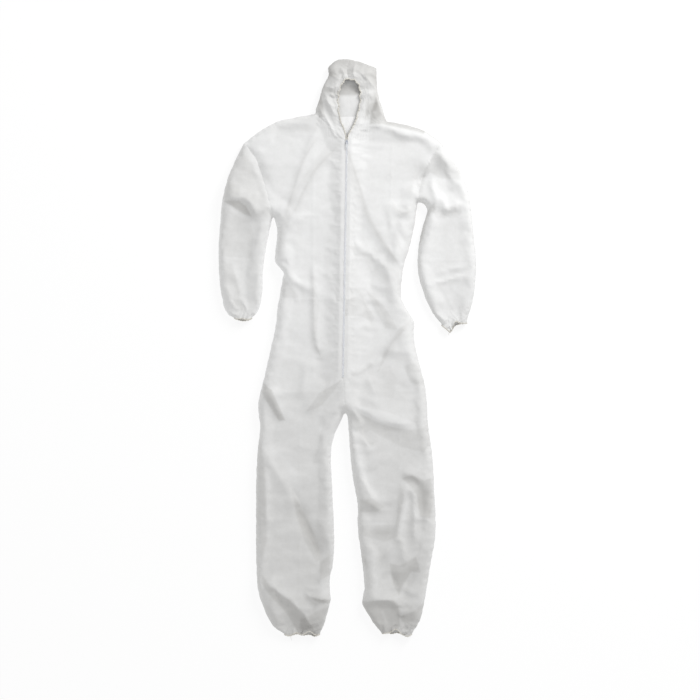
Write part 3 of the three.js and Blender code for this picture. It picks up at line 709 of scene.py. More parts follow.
def region_names(points, front):
    """The panel that each point of a layer belongs to."""
    x, y = points.T
    sleeve_right = np.where(y > 413, x < across([ARMHOLE_RIGHT], points), (y > 80) & (x < -234))
    beside = (y > 40) & (x > np.interp(y, *ARM_GAP))
    sleeve_left = np.where(y > 459, x > across([ARMHOLE_LEFT], points), beside)
    neck = [HOOD_SEAM_RIGHT, HOOD_SEAM_LEFT] if front else [NECK_SEAM_BACK]
    hood = (y > across(neck, points, along=0)) & (x > -103) & (x < 126)
    centre = [[ZIP_TOP, *CROTCH_SEAM]] if front else [CENTRE_BACK]
    crown = [[ZIP_TOP, *HOOD_SEAM_FRONT]] if front else [HOOD_SEAM_BACK]
    body_right = x < across(centre, points)
    hood_right = x < across(crown, points)
    layer = "front" if front else "back"
    names = np.where(body_right, f"{layer}_right", f"{layer}_left").astype(object)
    for part, right, left in (
        ("hood", hood & hood_right, hood & ~hood_right),
        ("sleeve", sleeve_right & ~hood, sleeve_left & ~hood),
    ):
        names[right] = f"{part}_{layer}_right"
        names[left] = f"{part}_{layer}_left"
    return names


def new_mesh(name, verts, faces):
    mesh = bpy.data.meshes.new(name)
    mesh.from_pydata([tuple(v) for v in verts], [], [tuple(f) for f in faces])
    mesh.update()
    return mesh


def new_object(name, verts, faces):
    obj = bpy.data.objects.new(name, new_mesh(name, verts, faces))
    bpy.context.scene.collection.objects.link(obj)
    return obj


def coordinates(mesh):
    co = np.empty(len(mesh.vertices) * 3, np.float32)
    mesh.vertices.foreach_get("co", co)
    return co.reshape(-1, 3).astype(float)


def evaluated_mesh(obj):
    bpy.context.view_layer.update()
    return bpy.data.meshes.new_from_object(obj.evaluated_get(bpy.context.evaluated_depsgraph_get()))


SETTLE_FRAMES = 22
CLOTH_SETTINGS = {
    "quality": 5,
    "mass": 0.02,
    "air_damping": 4,
    "tension_stiffness": 12,
    "compression_stiffness": 12,
    "shear_stiffness": 4,
    "bending_stiffness": 0.12,
    "tension_damping": 8,
    "compression_damping": 8,
    "shear_damping": 8,
    "bending_damping": 0.5,
    "vertex_group_mass": "held",
    "shrink_min": -0.008,
    "use_pressure": True,
    "uniform_pressure_force": 0.2,
}
MOST_DRIFT = 16  # millimetres that a point may move while it settles
# Where a hem gapes and its front edge lies back from the other: x, y, width and how far.
MOUTH_GAPS = [
    (340, 72, 12, 12), (150, -899, 15, 13), (-118, -905, 20, 12), (-165, -905, 14, 5), (-332, 88, 12, 6)
]


def limit(before, after):
    """The points after settling, none of them further than MOST_DRIFT from where it was."""
    move = after - before
    length = np.linalg.norm(move, axis=1, keepdims=True)
    return before + move * np.minimum(1, MOST_DRIFT / np.maximum(length, 1e-9))


def settle(verts, faces, held):
    """The front layer after its cloth has relaxed: held points stay, the rest buckles a little and sinks."""
    cloth_obj = new_object("settling", verts * MM, faces)
    group = cloth_obj.vertex_groups.new(name="held")
    group.add([int(i) for i in np.flatnonzero(held)], 1.0, "REPLACE")
    modifier = cloth_obj.modifiers.new("settle", "CLOTH")
    for setting, value in CLOTH_SETTINGS.items():
        setattr(modifier.settings, setting, value)
    modifier.collision_settings.use_collision = False
    modifier.point_cache.frame_start = 1
    modifier.point_cache.frame_end = SETTLE_FRAMES
    for number in range(1, SETTLE_FRAMES + 1):
        bpy.context.scene.frame_set(number)
    mesh = evaluated_mesh(cloth_obj)
    settled = coordinates(mesh) / MM
    bpy.context.scene.frame_set(1)
    bpy.data.objects.remove(cloth_obj)
    return settled


def suit_mesh():
    """The whole suit as one mesh of triangles, with each face's region as its material index."""
    front, front_faces, front_order = layer_triangles(SEAMS_FRONT, OPENING, True)
    back, back_faces, back_order = layer_triangles(SEAMS_BACK, None, False)
    front_z, back_z = drape_front(front), drape_back(back)

    mouth_next = np.array([kind == MOUTH for kind in RING_KINDS])
    in_mouth = mouth_next & np.roll(mouth_next, 1)
    on_hole = distance_to(np.vstack([OPENING, OPENING[:1]]), front) < 0.3
    front_3d = np.column_stack([front, front_z])
    for x, y, width, drawn in MOUTH_GAPS:
        reach = np.exp(-(((front[:, 0] - x) / width) ** 2)) * smoothstep(34, 4, np.abs(front[:, 1] - y))
        front_3d[:, 1] += drawn * reach
    on_tape = distance_to(ZIP_LINE, front) < TAPE_COVER
    settled = settle(front_3d, front_faces, (front_order >= 0) | on_hole | on_tape)
    front_3d = limit(front_3d, settled)

    verts = list(front_3d)
    ring_vertex = {order: i for i, order in enumerate(front_order) if order >= 0}
    index = []
    for place, z, order in zip(back, back_z, back_order):
        if order >= 0 and not in_mouth[order]:
            index.append(ring_vertex[order])
        else:
            index.append(len(verts))
            verts.append((*place, z))
    faces, regions = [], []
    for index, points, tris, is_front in (
        (np.arange(len(front)), front, front_faces, True),
        (np.array(index), back, back_faces, False),
    ):
        for tri, name in zip(tris, region_names(points[tris].mean(1), is_front)):
            a, b, c = index[tri].tolist()
            p, q, r = points[tri]
            upward = (q[0] - p[0]) * (r[1] - p[1]) - (q[1] - p[1]) * (r[0] - p[0]) > 0
            faces.append((a, b, c) if upward == is_front else (a, c, b))
            regions.append(REGIONS.index(name))
    suit = new_object("suit", np.array(verts) * MM, faces)
    for name in REGIONS:
        suit.data.materials.append(bpy.data.materials.new(name))
    suit.data.polygons.foreach_set("material_index", regions)
    return suit


# ---------------------------------------------------------------- fine detail, once the mesh is fine

PACKING_CREASES = [  # pressed in when the suit was folded flat for its bag
    [(-408, 279), (-262, 277)], [(219, 277), (410, 276)], [(-204, 154), (172, 151)],
    [(-276, -138), (250, -137)], [(-292, -541), (-42, -543)], [(30, -543), (282, -541)],
    [(-108, 640), (-109, -90)], [(140, 640), (128, 160)], [(-150, -250), (-152, -800)],
    [(165, -250), (160, -640)],
]


def ripples(arc, distance, wave, fade, seed):
    """Gathers that run away from a drawn-in edge: waves along it that fade out with distance."""
    line = np.column_stack([arc, np.full(len(arc), 0.5)])
    spread = 1 + distance / 60
    swing = np.sin(2 * math.pi * arc / wave / spread + 3.5 * wavy(line, 33, seed))
    return swing * (0.6 + 0.4 * wavy(line, 15, seed + 5)) * np.exp(-distance / fade)


def detail(points, upper):
    """Millimetres that each point of the fine mesh moves up, for what is too small for the settling mesh."""
    y = points[:, 1]
    height = np.zeros(len(points))
    clear = smoothstep(2, 14, edge_distance(points))
    for number, line in enumerate(MOUTH_LINES):
        distance, arc, _, _ = nearest(points, line)
        near = distance < 110
        if not near.any():
            continue
        ankle = line[0, 1] < 0
        wave, size, fade = (19, 4.3, 30) if ankle else (13, 3.2, 22)
        gathers = size * ripples(arc[near], distance[near], wave, fade, number + 1.0)
        gathers += 0.4 * size * ripples(arc[near], distance[near], 0.45 * wave, 0.4 * fade, number + 7.0)
        height[near] += gathers if upper else -0.5 * gathers
    if upper:
        height += face_gathers(points) + zip_gathers(points)
    for crease in PACKING_CREASES:
        distance = distance_to(np.array(crease, float), points)
        height += clear * 0.8 * np.exp(-distance / 2.6)
    for seam in SEAMS_FRONT if upper else SEAMS_BACK:
        distance, arc, _, _ = nearest(points, catmull(seam))
        near = distance < 24
        pucker = (0.9 if upper else 0.4) * ripples(arc[near], distance[near], 9, 9, 3.0)
        groove = 1.0 if upper else 0.3
        height[near] += clear[near] * (pucker - groove * np.exp(-((distance[near] / 2.6) ** 2)))
    if not upper:
        waist = np.abs(y - 151)
        near = (waist < 60) & (np.abs(points[:, 0] + 23) < 165)
        height[near] += clear[near] * 2.2 * (1 + ripples(points[near, 0], waist[near], 15, 22, 4.0))
    height += clear * 0.8 * facets(points, 24, 1.5, 0.7, 31)
    return height


def face_gathers(points):
    """The hood's folds that run out from the face elastic, deepest at the brow and temples."""
    distance, arc, _, _ = nearest(points, FACE_LINE)
    brow = np.interp(arc, [0, 60, 120, 330, 400, 460], [0.3, 0.9, 1, 1, 0.9, 0.3])
    long_folds = 1.35 * ripples(arc, distance, 24, 24, 8.0)
    short_folds = 1.1 * ripples(arc, distance, 10, 9, 14.0)
    return np.where((distance < 120) & (points[:, 1] > 640), brow * (long_folds + short_folds), 0)


def zip_gathers(points):
    """The small puckers along the zip, strongest at the waist."""
    distance, arc, side, _ = nearest(points, ZIP_LINE)
    pull = np.interp(arc, [0, 40, 300, 400, 520, 700, 740, 745], [0.1, 0.3, 0.3, 0.8, 1, 0.8, 0.3, 0])
    begins = smoothstep(ZIP_SLOT, ZIP_SLOT + 5, distance)
    right = ripples(arc, distance, 19, 7, 12.0)
    left = ripples(arc + 7, distance, 16, 9, 17.0)
    folds = 1.7 * pull * begins * np.where(side > 0, left, right)
    return np.where((distance < 70) & (points[:, 1] < 640) & (points[:, 1] > -88), folds, 0)


LOWEST = 0.0006  # of the cloth's outer face, above the floor


def refine(suit):
    """One subdivision, then the fine detail on both layers."""
    modifier = suit.modifiers.new("refine", "SUBSURF")
    modifier.levels = modifier.render_levels = 1
    modifier.boundary_smooth = "PRESERVE_CORNERS"
    mesh = evaluated_mesh(suit)
    suit.modifiers.clear()
    suit.data = mesh
    region = np.empty(len(mesh.polygons), int)
    mesh.polygons.foreach_get("material_index", region)
    upper = np.zeros(len(mesh.vertices), bool)
    for polygon, number in zip(mesh.polygons, region):
        if "front" in REGIONS[number]:
            upper[list(polygon.vertices)] = True
    co = coordinates(mesh)
    tone = np.ones(len(co))
    for is_upper in (True, False):
        chosen = upper == is_upper
        plane = co[chosen, :2] / MM
        rise = detail(plane, is_upper)
        co[chosen, 2] += (rise if is_upper else np.maximum(rise, 0)) * MM
        tone[chosen] = painted_tones(plane, is_upper)
    co[:, 2] = np.maximum(co[:, 2], LOWEST)
    mesh.vertices.foreach_set("co", co.astype(np.float32).ravel())
    mesh.update()
    return region, tone


def set_tone(mesh, tone):
    mesh.attributes.new("tone", "FLOAT", "POINT").data.foreach_set("value", np.asarray(tone, np.float32))


def boundary_loops(mesh):
    """Each open edge of the mesh as a ring of vertex numbers."""
    counts = {}
    for polygon in mesh.polygons:
        for edge in polygon.edge_keys:
            counts[edge] = counts.get(edge, 0) + 1
    joined = {}
    for (a, b), count in counts.items():
        if count == 1:
            joined.setdefault(a, []).append(b)
            joined.setdefault(b, []).append(a)
    loops = []
    while joined:
        start = here = next(iter(joined))
        loop = []
        while here in joined:
            loop.append(here)
            ahead = [n for n in joined.pop(here) if n in joined]
            here = ahead[0] if ahead else None
        loops.append(loop)
    return loops


# ---------------------------------------------------------------- pieces


def panel_plan():
    """For each piece: its regions, the CAD nodes it stands for and the body of its far part."""
    plan = {}
    for layer in LAYERS:
        for side in SIDES:
            nodes = [f"{layer}_panel_{side}", f"leg_{layer}_upper_{side}", f"leg_{layer}_lower_{side}"]
            plan[f"suit_{layer}_{side}"] = ([f"{layer}_{side}"], nodes, f"shin_{side}")
    for side in SIDES:
        regions = [f"sleeve_{layer}_{side}" for layer in LAYERS]
        nodes = [f"sleeve_upper_{side}", f"sleeve_lower_{side}"]
        plan[f"sleeve_{side}"] = (regions, nodes, f"forearm_{side}")
    for side in SIDES:
        plan[f"hood_{side}"] = ([f"hood_{layer}_{side}" for layer in LAYERS], [f"hood_panel_{side}"], "hood")
    return plan


CLOTH_THICKNESS = 0.0004
RIM_ANGLE = math.radians(62)  # edges sharper than this are cut edges


def stand_for(piece, nodes, body, bends):
    """Hides the CAD nodes that a piece replaces, then bakes the piece's place into its mesh, or parents it
    to its body's empty.
    """
    if nodes:
        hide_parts(*nodes)
    if bends:
        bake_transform(piece)
    else:
        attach(piece, body)
    return piece


def thicken(piece, thickness, offset=-1):
    """Gives a sheet its real thickness, with crisp cut edges."""
    solidify = piece.modifiers.new("thickness", "SOLIDIFY")
    solidify.thickness = thickness
    solidify.offset = offset
    mesh = evaluated_mesh(piece)
    piece.modifiers.clear()
    piece.data = mesh
    mesh.shade_smooth()
    mesh.set_sharp_from_angle(angle=RIM_ANGLE)


def split_panels(suit, region, tone):
    """One object for each sewn panel."""
    pieces = {}
    co = coordinates(suit.data)
    polygons = [tuple(p.vertices) for p in suit.data.polygons]
    for name, (regions, nodes, body) in panel_plan().items():
        wanted = {REGIONS.index(r) for r in regions}
        faces = [f for f, r in zip(polygons, region) if r in wanted]
        used = sorted({v for f in faces for v in f})
        number = {v: i for i, v in enumerate(used)}
        piece = new_object(name, co[used], [[number[v] for v in f] for f in faces])
        set_tone(piece.data, tone[used])
        thicken(piece, CLOTH_THICKNESS)
        pieces[name] = stand_for(piece, nodes, body, True)
    return pieces


# ---------------------------------------------------------------- trims


def tube_along(name, line, across, half_width, half_height, closed, sides=8):
    """A soft flattened cord along a line, in millimetres; across is the way its width runs."""
    count = len(line)
    across = np.broadcast_to(across, line.shape)
    if closed:
        ahead = np.roll(line, -1, axis=0) - np.roll(line, 1, axis=0)
    else:
        ahead = np.gradient(line, axis=0)
    up = np.cross(ahead, across)
    up /= np.linalg.norm(up, axis=1, keepdims=True)
    up[up[:, 2] < 0] *= -1
    turns = 2 * math.pi * np.arange(sides)[None, :, None] / sides
    wide, high = (np.broadcast_to(half, count)[:, None, None] for half in (half_width, half_height))
    rings = line[:, None] + across[:, None] * np.cos(turns) * wide + up[:, None] * np.sin(turns) * high
    faces = []
    for i in range(count if closed else count - 1):
        a, b = i * sides, (i + 1) % count * sides
        for k in range(sides):
            n = (k + 1) % sides
            faces.append((a + k, a + n, b + n, b + k))
    if not closed:
        faces.append(tuple(range(sides)))
        faces.append(tuple((count - 1) * sides + k for k in reversed(range(sides))))
    piece = new_object(name, rings.reshape(-1, 3) * MM, faces)
    make_outward(piece)
    piece.data.shade_smooth()
    return piece


def make_outward(piece):
    work = bmesh.new()
    work.from_mesh(piece.data)
    bmesh.ops.recalc_face_normals(work, faces=work.faces)
    work.to_mesh(piece.data)
    work.free()


def even(line, step, closed):
    """The line of points in space again, with its points about a step apart."""
    if closed:
        line = np.vstack([line, line[:1]])
    lengths = np.linalg.norm(np.diff(line, axis=0), axis=1)
    along = np.concatenate([[0], np.cumsum(lengths)])
    wanted = np.linspace(0, along[-1], max(8, round(along[-1] / step)) + 1)
    points = np.column_stack([np.interp(wanted, along, line[:, k]) for k in range(3)])
    return (points[:-1], wanted[:-1]) if closed else (points, wanted)


# Each gathered end: its name, the body it goes with and a point near its middle.
ENDS = [
    ("cuff", "right", "forearm", (-329, 92)),
    ("cuff", "left", "forearm", (335, 66)),
    ("ankle", "right", "shin", (-145, -905)),
    ("ankle", "left", "shin", (157, -902)),
]
THREADS = {  # loose ends of the hems' sewing thread
    "ankle_hem_right": [(-180, -904, 10), (-182, -912, 9), (-178, -919, 6), (-176, -925, 3)],
    "cuff_hem_left": [(326, 56, 8), (324, 50, 7), (320, 46, 5), (321, 41, 2)],
}


def scallops(arc, wave, seed):
    """How full a gathered hem is along its length, from about 0.6 to 1.4."""
    line = np.column_stack([arc, np.full(len(arc), 0.5)])
    folds = np.sin(2 * math.pi * arc / wave + 2.5 * wavy(line, 25, seed))
    return 1 + 0.28 * folds + 0.15 * wavy(line, 9, seed)


def mouth_hem(name, loop, seed):
    """A gathered hem with elastic in it, round the open end of a sleeve or leg."""
    line, arc = even(loop / MM, 1.6, True)
    fullness = scallops(arc, 8.5, seed)
    outward = np.array([0, -1, 0])
    line = line + outward * (0.6 + 0.6 * fullness)[:, None]
    line[:, 2] = np.maximum(line[:, 2], 2.2)
    piece = tube_along(name, line, outward, 2.1 * fullness, 1.3 * fullness, True)
    if name not in THREADS:
        return piece
    tail, _ = even(np.array(THREADS[name], float), 1.0, False)
    return join([piece, tube_along(name + "_thread", tail, (1, 0, 0), 0.35, 0.35, False, sides=6)])


def join(parts):
    bpy.ops.object.select_all(action="DESELECT")
    for part in parts:
        part.select_set(True)
    bpy.context.view_layer.objects.active = parts[0]
    bpy.ops.object.join()
    return parts[0]


FACE_FOOT = 640  # below the face's edge, on the zip
FACE_MIDDLE = np.array([4, 760, 0])


def face_hem(loop):
    """The gathered elastic edge round the face, from one side of the zip's top to the other."""
    high = loop[:, 1] > FACE_FOOT * MM
    start = next(i for i in range(len(loop)) if high[i] and not high[i - 1])
    loop = np.roll(loop, -start, axis=0)[: int(high.sum())]
    line, arc = even(loop / MM, 1.6, False)
    fullness = scallops(arc, 10, 6.0)
    ahead = np.gradient(line, axis=0)
    inward = np.column_stack([-ahead[:, 1], ahead[:, 0], np.zeros(len(line))])
    inward /= np.linalg.norm(inward, axis=1, keepdims=True)
    inward[((FACE_MIDDLE - line) * inward).sum(1) < 0] *= -1
    line = line + inward * (0.3 * fullness)[:, None]
    narrow = smoothstep(0, 18, arc) * smoothstep(0, 18, arc[-1] - arc)
    size = fullness * (0.45 + 0.55 * narrow)
    return tube_along("face_hem", line, inward, 2.1 * size, 1.5 * size, False)


def add_hems(mesh):
    """The elastic hems of the cuffs, ankles and face, along the cloth's open edges."""
    co = coordinates(mesh)
    loops = [co[loop] for loop in boundary_loops(mesh)]
    hems = {}
    for seed, (end, side, body, place) in enumerate(ENDS):
        name = f"{end}_hem_{side}"
        loop = min(loops, key=lambda loop: np.hypot(*(loop[:, :2].mean(0) / MM - place)))
        hem = mouth_hem(name, loop, 2.0 + seed)
        hems[name] = stand_for(hem, [f"{end}_elastic_{side}"], f"{body}_{side}", False)
    hem = face_hem(max(loops, key=len))
    hems["face_hem"] = stand_for(hem, ["hood_face_elastic"], "hood", True)
    return hems


COIL_PITCH = 1.7
COIL_WIRE = 0.6
COIL_MIDDLE = 1.3  # from the zip's centre line to the middle of each coil
COIL_REACH = 0.95
COIL_RISE = 0.28
COIL_Z = 51.5


def add_coils():
    """The two nylon coils, each a flattened spiral round a core cord: its turns mesh with the other's."""
    coils = []
    for side, name in zip((-1, 1), SIDES):
        low, high = (np.array(corner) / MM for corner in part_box(f"zip_coil_{name}"))
        top, foot = np.array([ZIP_TOP.x, high[1], COIL_Z]), np.array([ZIP_FOOT.x, low[1], COIL_Z])
        length = np.linalg.norm(top - foot)
        turns = int(length / COIL_PITCH)
        t = np.linspace(0, turns, turns * 8 + 1)
        down = (foot - top) / length
        across = np.array([-down[1], down[0], 0])
        angle = 2 * math.pi * t + (0 if side > 0 else math.pi)
        out = side * COIL_MIDDLE + COIL_REACH * np.cos(angle)
        line = top + down * (t * COIL_PITCH)[:, None] + across * out[:, None]
        line[:, 2] += COIL_RISE * np.sin(angle)
        spiral = tube_along(f"zip_coil_turns_{name}", line, down, COIL_WIRE, COIL_WIRE, False, sides=5)
        core = top + down * np.linspace(0, length, 120)[:, None] + across * side * COIL_MIDDLE
        cord = tube_along(f"zip_core_{name}", core, across, 0.62, 0.3, False, sides=6)
        coils.append(stand_for(join([spiral, cord]), [f"zip_coil_{name}"], "torso", False))
    return coils


def laid_on_back(name, xs, ys, lift, thickness):
    """A sheet over a grid of xs and ys that lies on the inside of the back, lift above it."""
    grid = np.array([(x, y) for y in ys for x in xs])
    height = np.maximum(drape_back(grid) + detail(grid, False), 0.6).reshape(len(ys), len(xs)) + lift
    wide = len(xs)
    starts = [j * wide + i for j in range(len(ys) - 1) for i in range(wide - 1)]
    faces = [(a, a + 1, a + wide + 1, a + wide) for a in starts]
    piece = new_object(name, np.column_stack([grid, height.ravel()]) * MM, faces)
    thicken(piece, thickness, 0)
    return piece


def add_label():
    """A blank satin label inside the back of the neck, curled a little at its free lower end."""
    low, high = (np.array(corner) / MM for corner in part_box("neck_label"))
    xs, ys = np.linspace(low[0], high[0], 18), np.linspace(low[1], high[1], 26)
    curl = 2.2 * smoothstep(high[1] - 20, low[1], ys)[:, None] + 0.5 * np.sin(xs / 5)
    piece = laid_on_back("label_satin", xs, ys, 2.2 + curl, 0.0003)
    return stand_for(piece, ["neck_label"], "hood", True)


def add_waist_elastic():
    """The ribbed elastic sewn inside the back of the waist, which gathers it."""
    low, high = (np.array(corner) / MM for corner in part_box("waist_elastic"))
    xs, ys = np.arange(low[0], high[0], 2.0), np.linspace(low[1], high[1], 6)
    ribs = 0.25 * np.sin(math.pi * xs / 2)
    piece = laid_on_back("waist_elastic_band", xs, ys, 1.6 + ribs, 0.0008)
    return stand_for(piece, ["waist_elastic"], "torso", False)


# ---------------------------------------------------------------- stitching

STITCH_PITCH = 3.4
STITCH_LENGTH = 2.5
THREAD_RADIUS = 0.22
ZIP_ROWS = (6.2, 9.8)  # rows of stitches on each side of the zip, from its centre line
SEAM_ROWS = (-2.2, 2.2)  # rows on each side of a seam


def stitch_ends(line, offset):
    """The two ends of each stitch in a row that runs beside a line, in the plane."""
    line = spaced(line, 0.5 * STITCH_PITCH)
    ahead = np.gradient(line, axis=0)
    ahead /= np.hypot(*ahead.T)[:, None]
    middles = (line + offset * np.column_stack([-ahead[:, 1], ahead[:, 0]]))[1:-1:2]
    half = 0.5 * STITCH_LENGTH * ahead[1:-1:2]
    return middles - half, middles + half


def on_cloth(tree, points, from_above):
    """Each point of the plane on the suit's outer face, in millimetres."""
    start, way = (0.2, -1) if from_above else (-0.1, 1)
    found = [tree.ray_cast(Vector((x * MM, y * MM, start)), Vector((0, 0, way))) for x, y in points]
    return np.array([hit[0] / MM if hit[0] else (math.nan,) * 3 for hit in found])


def add_stitching(name, tree, rows, body):
    """Rows of stitches as short threads that lie on the cloth. Each row is (line, offset, on the front)."""
    rings = []
    for line, offset, from_above in rows:
        lift = 0.5 * THREAD_RADIUS * (1 if from_above else -1)
        first, last = (on_cloth(tree, ends, from_above) for ends in stitch_ends(np.array(line), offset))
        kept = np.isfinite(first[:, 2] + last[:, 2]) & (np.abs(first[:, 2] - last[:, 2]) < STITCH_LENGTH)
        first, last = first[kept], last[kept]
        along = last - first
        side = np.column_stack([-along[:, 1], along[:, 0], np.zeros(len(along))])
        side *= THREAD_RADIUS / np.linalg.norm(side, axis=1, keepdims=True)
        up = np.array([0, 0, THREAD_RADIUS])
        for t, size, raised in ((0, 0.5, -1), (0.2, 1, 1), (0.8, 1, 1), (1, 0.5, -1)):
            middle = first + t * along + (0, 0, raised * lift)
            rings.append(np.stack([middle + size * turn for turn in (side, up, -side, -up)], axis=1))
    verts, faces = [], []
    for a, b, c, d in zip(*[iter(rings)] * 4):
        for stitch in np.stack([a, b, c, d], axis=1):
            start = len(verts)
            verts += list(stitch.reshape(-1, 3))
            for ring in range(3):
                low, high = start + 4 * ring, start + 4 * ring + 4
                faces += [(low + k, low + (k + 1) % 4, high + (k + 1) % 4, high + k) for k in range(4)]
            faces += [(start + 3, start + 2, start + 1, start), tuple(start + 12 + k for k in range(4))]
    piece = new_object(name, np.array(verts) * MM, faces)
    make_outward(piece)
    return stand_for(piece, [], body, body == "hood")


def add_all_stitching(suit):
    """The stitches beside the zip and along the seams, in three sets: the zip's and the body's go on the
    torso.
    """
    polygons = [tuple(p.vertices) for p in suit.data.polygons]
    tree = BVHTree.FromPolygons([v.co for v in suit.data.vertices], polygons)

    def both_sides(seams, on_front):
        return [(catmull(seam), row, on_front) for seam in seams for row in SEAM_ROWS]

    zip_rows = [(ZIP_LINE, side * row, True) for side in (-1, 1) for row in ZIP_ROWS]
    body = both_sides([ARMHOLE_RIGHT, ARMHOLE_LEFT, CROTCH_SEAM], True)
    body += both_sides([ARMHOLE_RIGHT, ARMHOLE_LEFT, CENTRE_BACK], False)
    hood = both_sides([HOOD_SEAM_RIGHT, HOOD_SEAM_LEFT, HOOD_SEAM_FRONT], True)
    hood += both_sides([NECK_SEAM_BACK, HOOD_SEAM_BACK], False)
    sets = (("zip", zip_rows, "torso"), ("body", body, "torso"), ("hood", hood, "hood"))
    pieces = [add_stitching(f"{name}_stitching", tree, rows, held_by) for name, rows, held_by in sets]
    return {piece.name: piece for piece in pieces}


# ---------------------------------------------------------------- materials


def material(name, roughness):
    made = bpy.data.materials.new(name)
    made.use_nodes = True
    shader = made.node_tree.nodes["Principled BSDF"]
    shader.inputs["Roughness"].default_value = roughness
    return made, made.node_tree, shader


def texture(tree, kind, scale, **inputs):
    """A texture node in the object's own coordinates."""
    node = tree.nodes.new("ShaderNodeTex" + kind)
    place = tree.nodes.new("ShaderNodeTexCoord")
    tree.links.new(place.outputs["Object"], node.inputs["Vector"])
    node.inputs["Scale"].default_value = scale
    for name, value in inputs.items():
        node.inputs[name].default_value = value
    return node


def mapped(tree, value, low, high, to_low, to_high):
    """A value from low to high stretched to the range from to_low to to_high."""
    node = tree.nodes.new("ShaderNodeMapRange")
    for name, number in (("From Min", low), ("From Max", high), ("To Min", to_low), ("To Max", to_high)):
        node.inputs[name].default_value = number
    tree.links.new(value, node.inputs["Value"])
    return node.outputs["Result"]


def added(tree, first, second):
    node = tree.nodes.new("ShaderNodeMath")
    node.operation = "ADD"
    tree.links.new(first, node.inputs[0])
    if isinstance(second, float):
        node.inputs[1].default_value = second
    else:
        tree.links.new(second, node.inputs[1])
    return node.outputs["Value"]


def colored(tree, shader, value, stops):
    """Colours the shader by a value, through a ramp with (place, colour) stops."""
    node = tree.nodes.new("ShaderNodeValToRGB")
    elements = node.color_ramp.elements
    while len(elements) < len(stops):
        elements.new(0.5)
    for element, (place, color) in zip(elements, stops):
        element.position = place
        element.color = (*color, 1)
    tree.links.new(value, node.inputs["Fac"])
    tree.links.new(node.outputs["Color"], shader.inputs["Base Color"])


def bumps(tree, shader, *layers):
    """Bumps laid over one another: each layer is (height, depth in metres, strength)."""
    last = None
    for height, depth, strength in layers:
        node = tree.nodes.new("ShaderNodeBump")
        node.inputs["Distance"].default_value = depth
        node.inputs["Strength"].default_value = strength
        tree.links.new(height, node.inputs["Height"])
        if last:
            tree.links.new(last, node.inputs["Normal"])
        last = node.outputs["Normal"]
    tree.links.new(last, shader.inputs["Normal"])


def gray(level):
    return (level, level, level)


CLOTH_TONES = [(0.3, (0.27, 0.26, 0.245)), (0.7, (0.60, 0.596, 0.583)), (1.0, (0.86, 0.862, 0.86))]
ELASTIC_TONES = [(0.3, (0.30, 0.28, 0.24)), (0.7, (0.60, 0.575, 0.52)), (1.0, (0.84, 0.83, 0.79))]
ELASTIC_LEVEL = 0.78


def nonwoven(name, toned):
    """Point-bonded nonwoven cloth: cloudy fibres, a grid of pressed dots and fine crumpling."""
    made, tree, shader = material(name, 0.72)
    dots = texture(tree, "Voronoi", 620, Randomness=0.1)
    cloud = texture(tree, "Noise", 46, Detail=7, Roughness=0.68)
    fibres = texture(tree, "Noise", 900, Detail=3, Roughness=0.6)
    crumple = texture(tree, "Noise", 55, Detail=4, Roughness=0.55)
    clouds = mapped(tree, cloud.outputs["Fac"], 0.3, 0.7, -0.03, 0.03)
    specks = mapped(tree, fibres.outputs["Fac"], 0.3, 0.7, -0.015, 0.015)
    level = added(tree, clouds, specks)
    if toned:
        # the tone attribute carries the painted shade and painted light into the cloth's colour
        tone = tree.nodes.new("ShaderNodeAttribute")
        tone.attribute_name = "tone"
        colored(tree, shader, added(tree, level, tone.outputs["Fac"]), CLOTH_TONES)
    else:
        colored(tree, shader, added(tree, level, ELASTIC_LEVEL), ELASTIC_TONES)
    shader.inputs["Specular IOR Level"].default_value = 0.28
    shader.inputs["Sheen Weight"].default_value = 0.1
    pressed = mapped(tree, dots.outputs["Distance"], 0.1, 0.35, 0.0, 1.0)
    rough = mapped(tree, pressed, 0.0, 1.0, 0.55, 0.78)
    tree.links.new(rough, shader.inputs["Roughness"])
    bumps(tree, shader, (pressed, 0.00012, 0.5), (crumple.outputs["Fac"], 0.0012, 0.3))
    return made


COIL_PAINTED_LIGHT = 0.08  # painted light: a faint glow on the coil, in place of the light that comes through the pale nylon from the cloth around it


def coil_plastic():
    """Pale nylon, a little blue, with faint mould variation and a faint painted glow."""
    made, tree, shader = material("coil nylon", 0.42)
    cloud = texture(tree, "Noise", 140, Detail=3).outputs["Fac"]
    colored(tree, shader, cloud, [(0.3, (0.90, 0.915, 0.945)), (0.7, (0.94, 0.945, 0.96))])
    shader.inputs["Emission Color"].default_value = (0.82, 0.88, 1, 1)
    shader.inputs["Emission Strength"].default_value = COIL_PAINTED_LIGHT
    bumps(tree, shader, (cloud, 0.00008, 0.4))
    return made


def banded(name, roughness, direction, scale, dark, light, depth, strength=0.5):
    """A finish of fine parallel bands, in colour and in height, and its shader."""
    made, tree, shader = material(name, roughness)
    wave = texture(tree, "Wave", scale)
    wave.bands_direction = direction
    colored(tree, shader, wave.outputs["Fac"], [(0.0, dark), (1.0, light)])
    bumps(tree, shader, (wave.outputs["Fac"], depth, strength))
    return made, shader


def woven_tape():
    """White woven tape: a fine twill rib along it."""
    return banded("woven tape", 0.75, "DIAGONAL", 900, (0.88, 0.885, 0.90), (0.94, 0.945, 0.95), 0.0001)[0]


def thread():
    """White polyester sewing thread with its twist."""
    return banded("sewing thread", 0.5, "X", 1500, (0.74, 0.74, 0.73), (0.88, 0.88, 0.87), 0.00006, 0.6)[0]


def satin():
    """Blank white satin ribbon with its weave across it."""
    made, shader = banded("label satin", 0.45, "Y", 700, gray(0.93), gray(0.97), 0.00006)
    shader.inputs["Sheen Weight"].default_value = 0.2
    return made


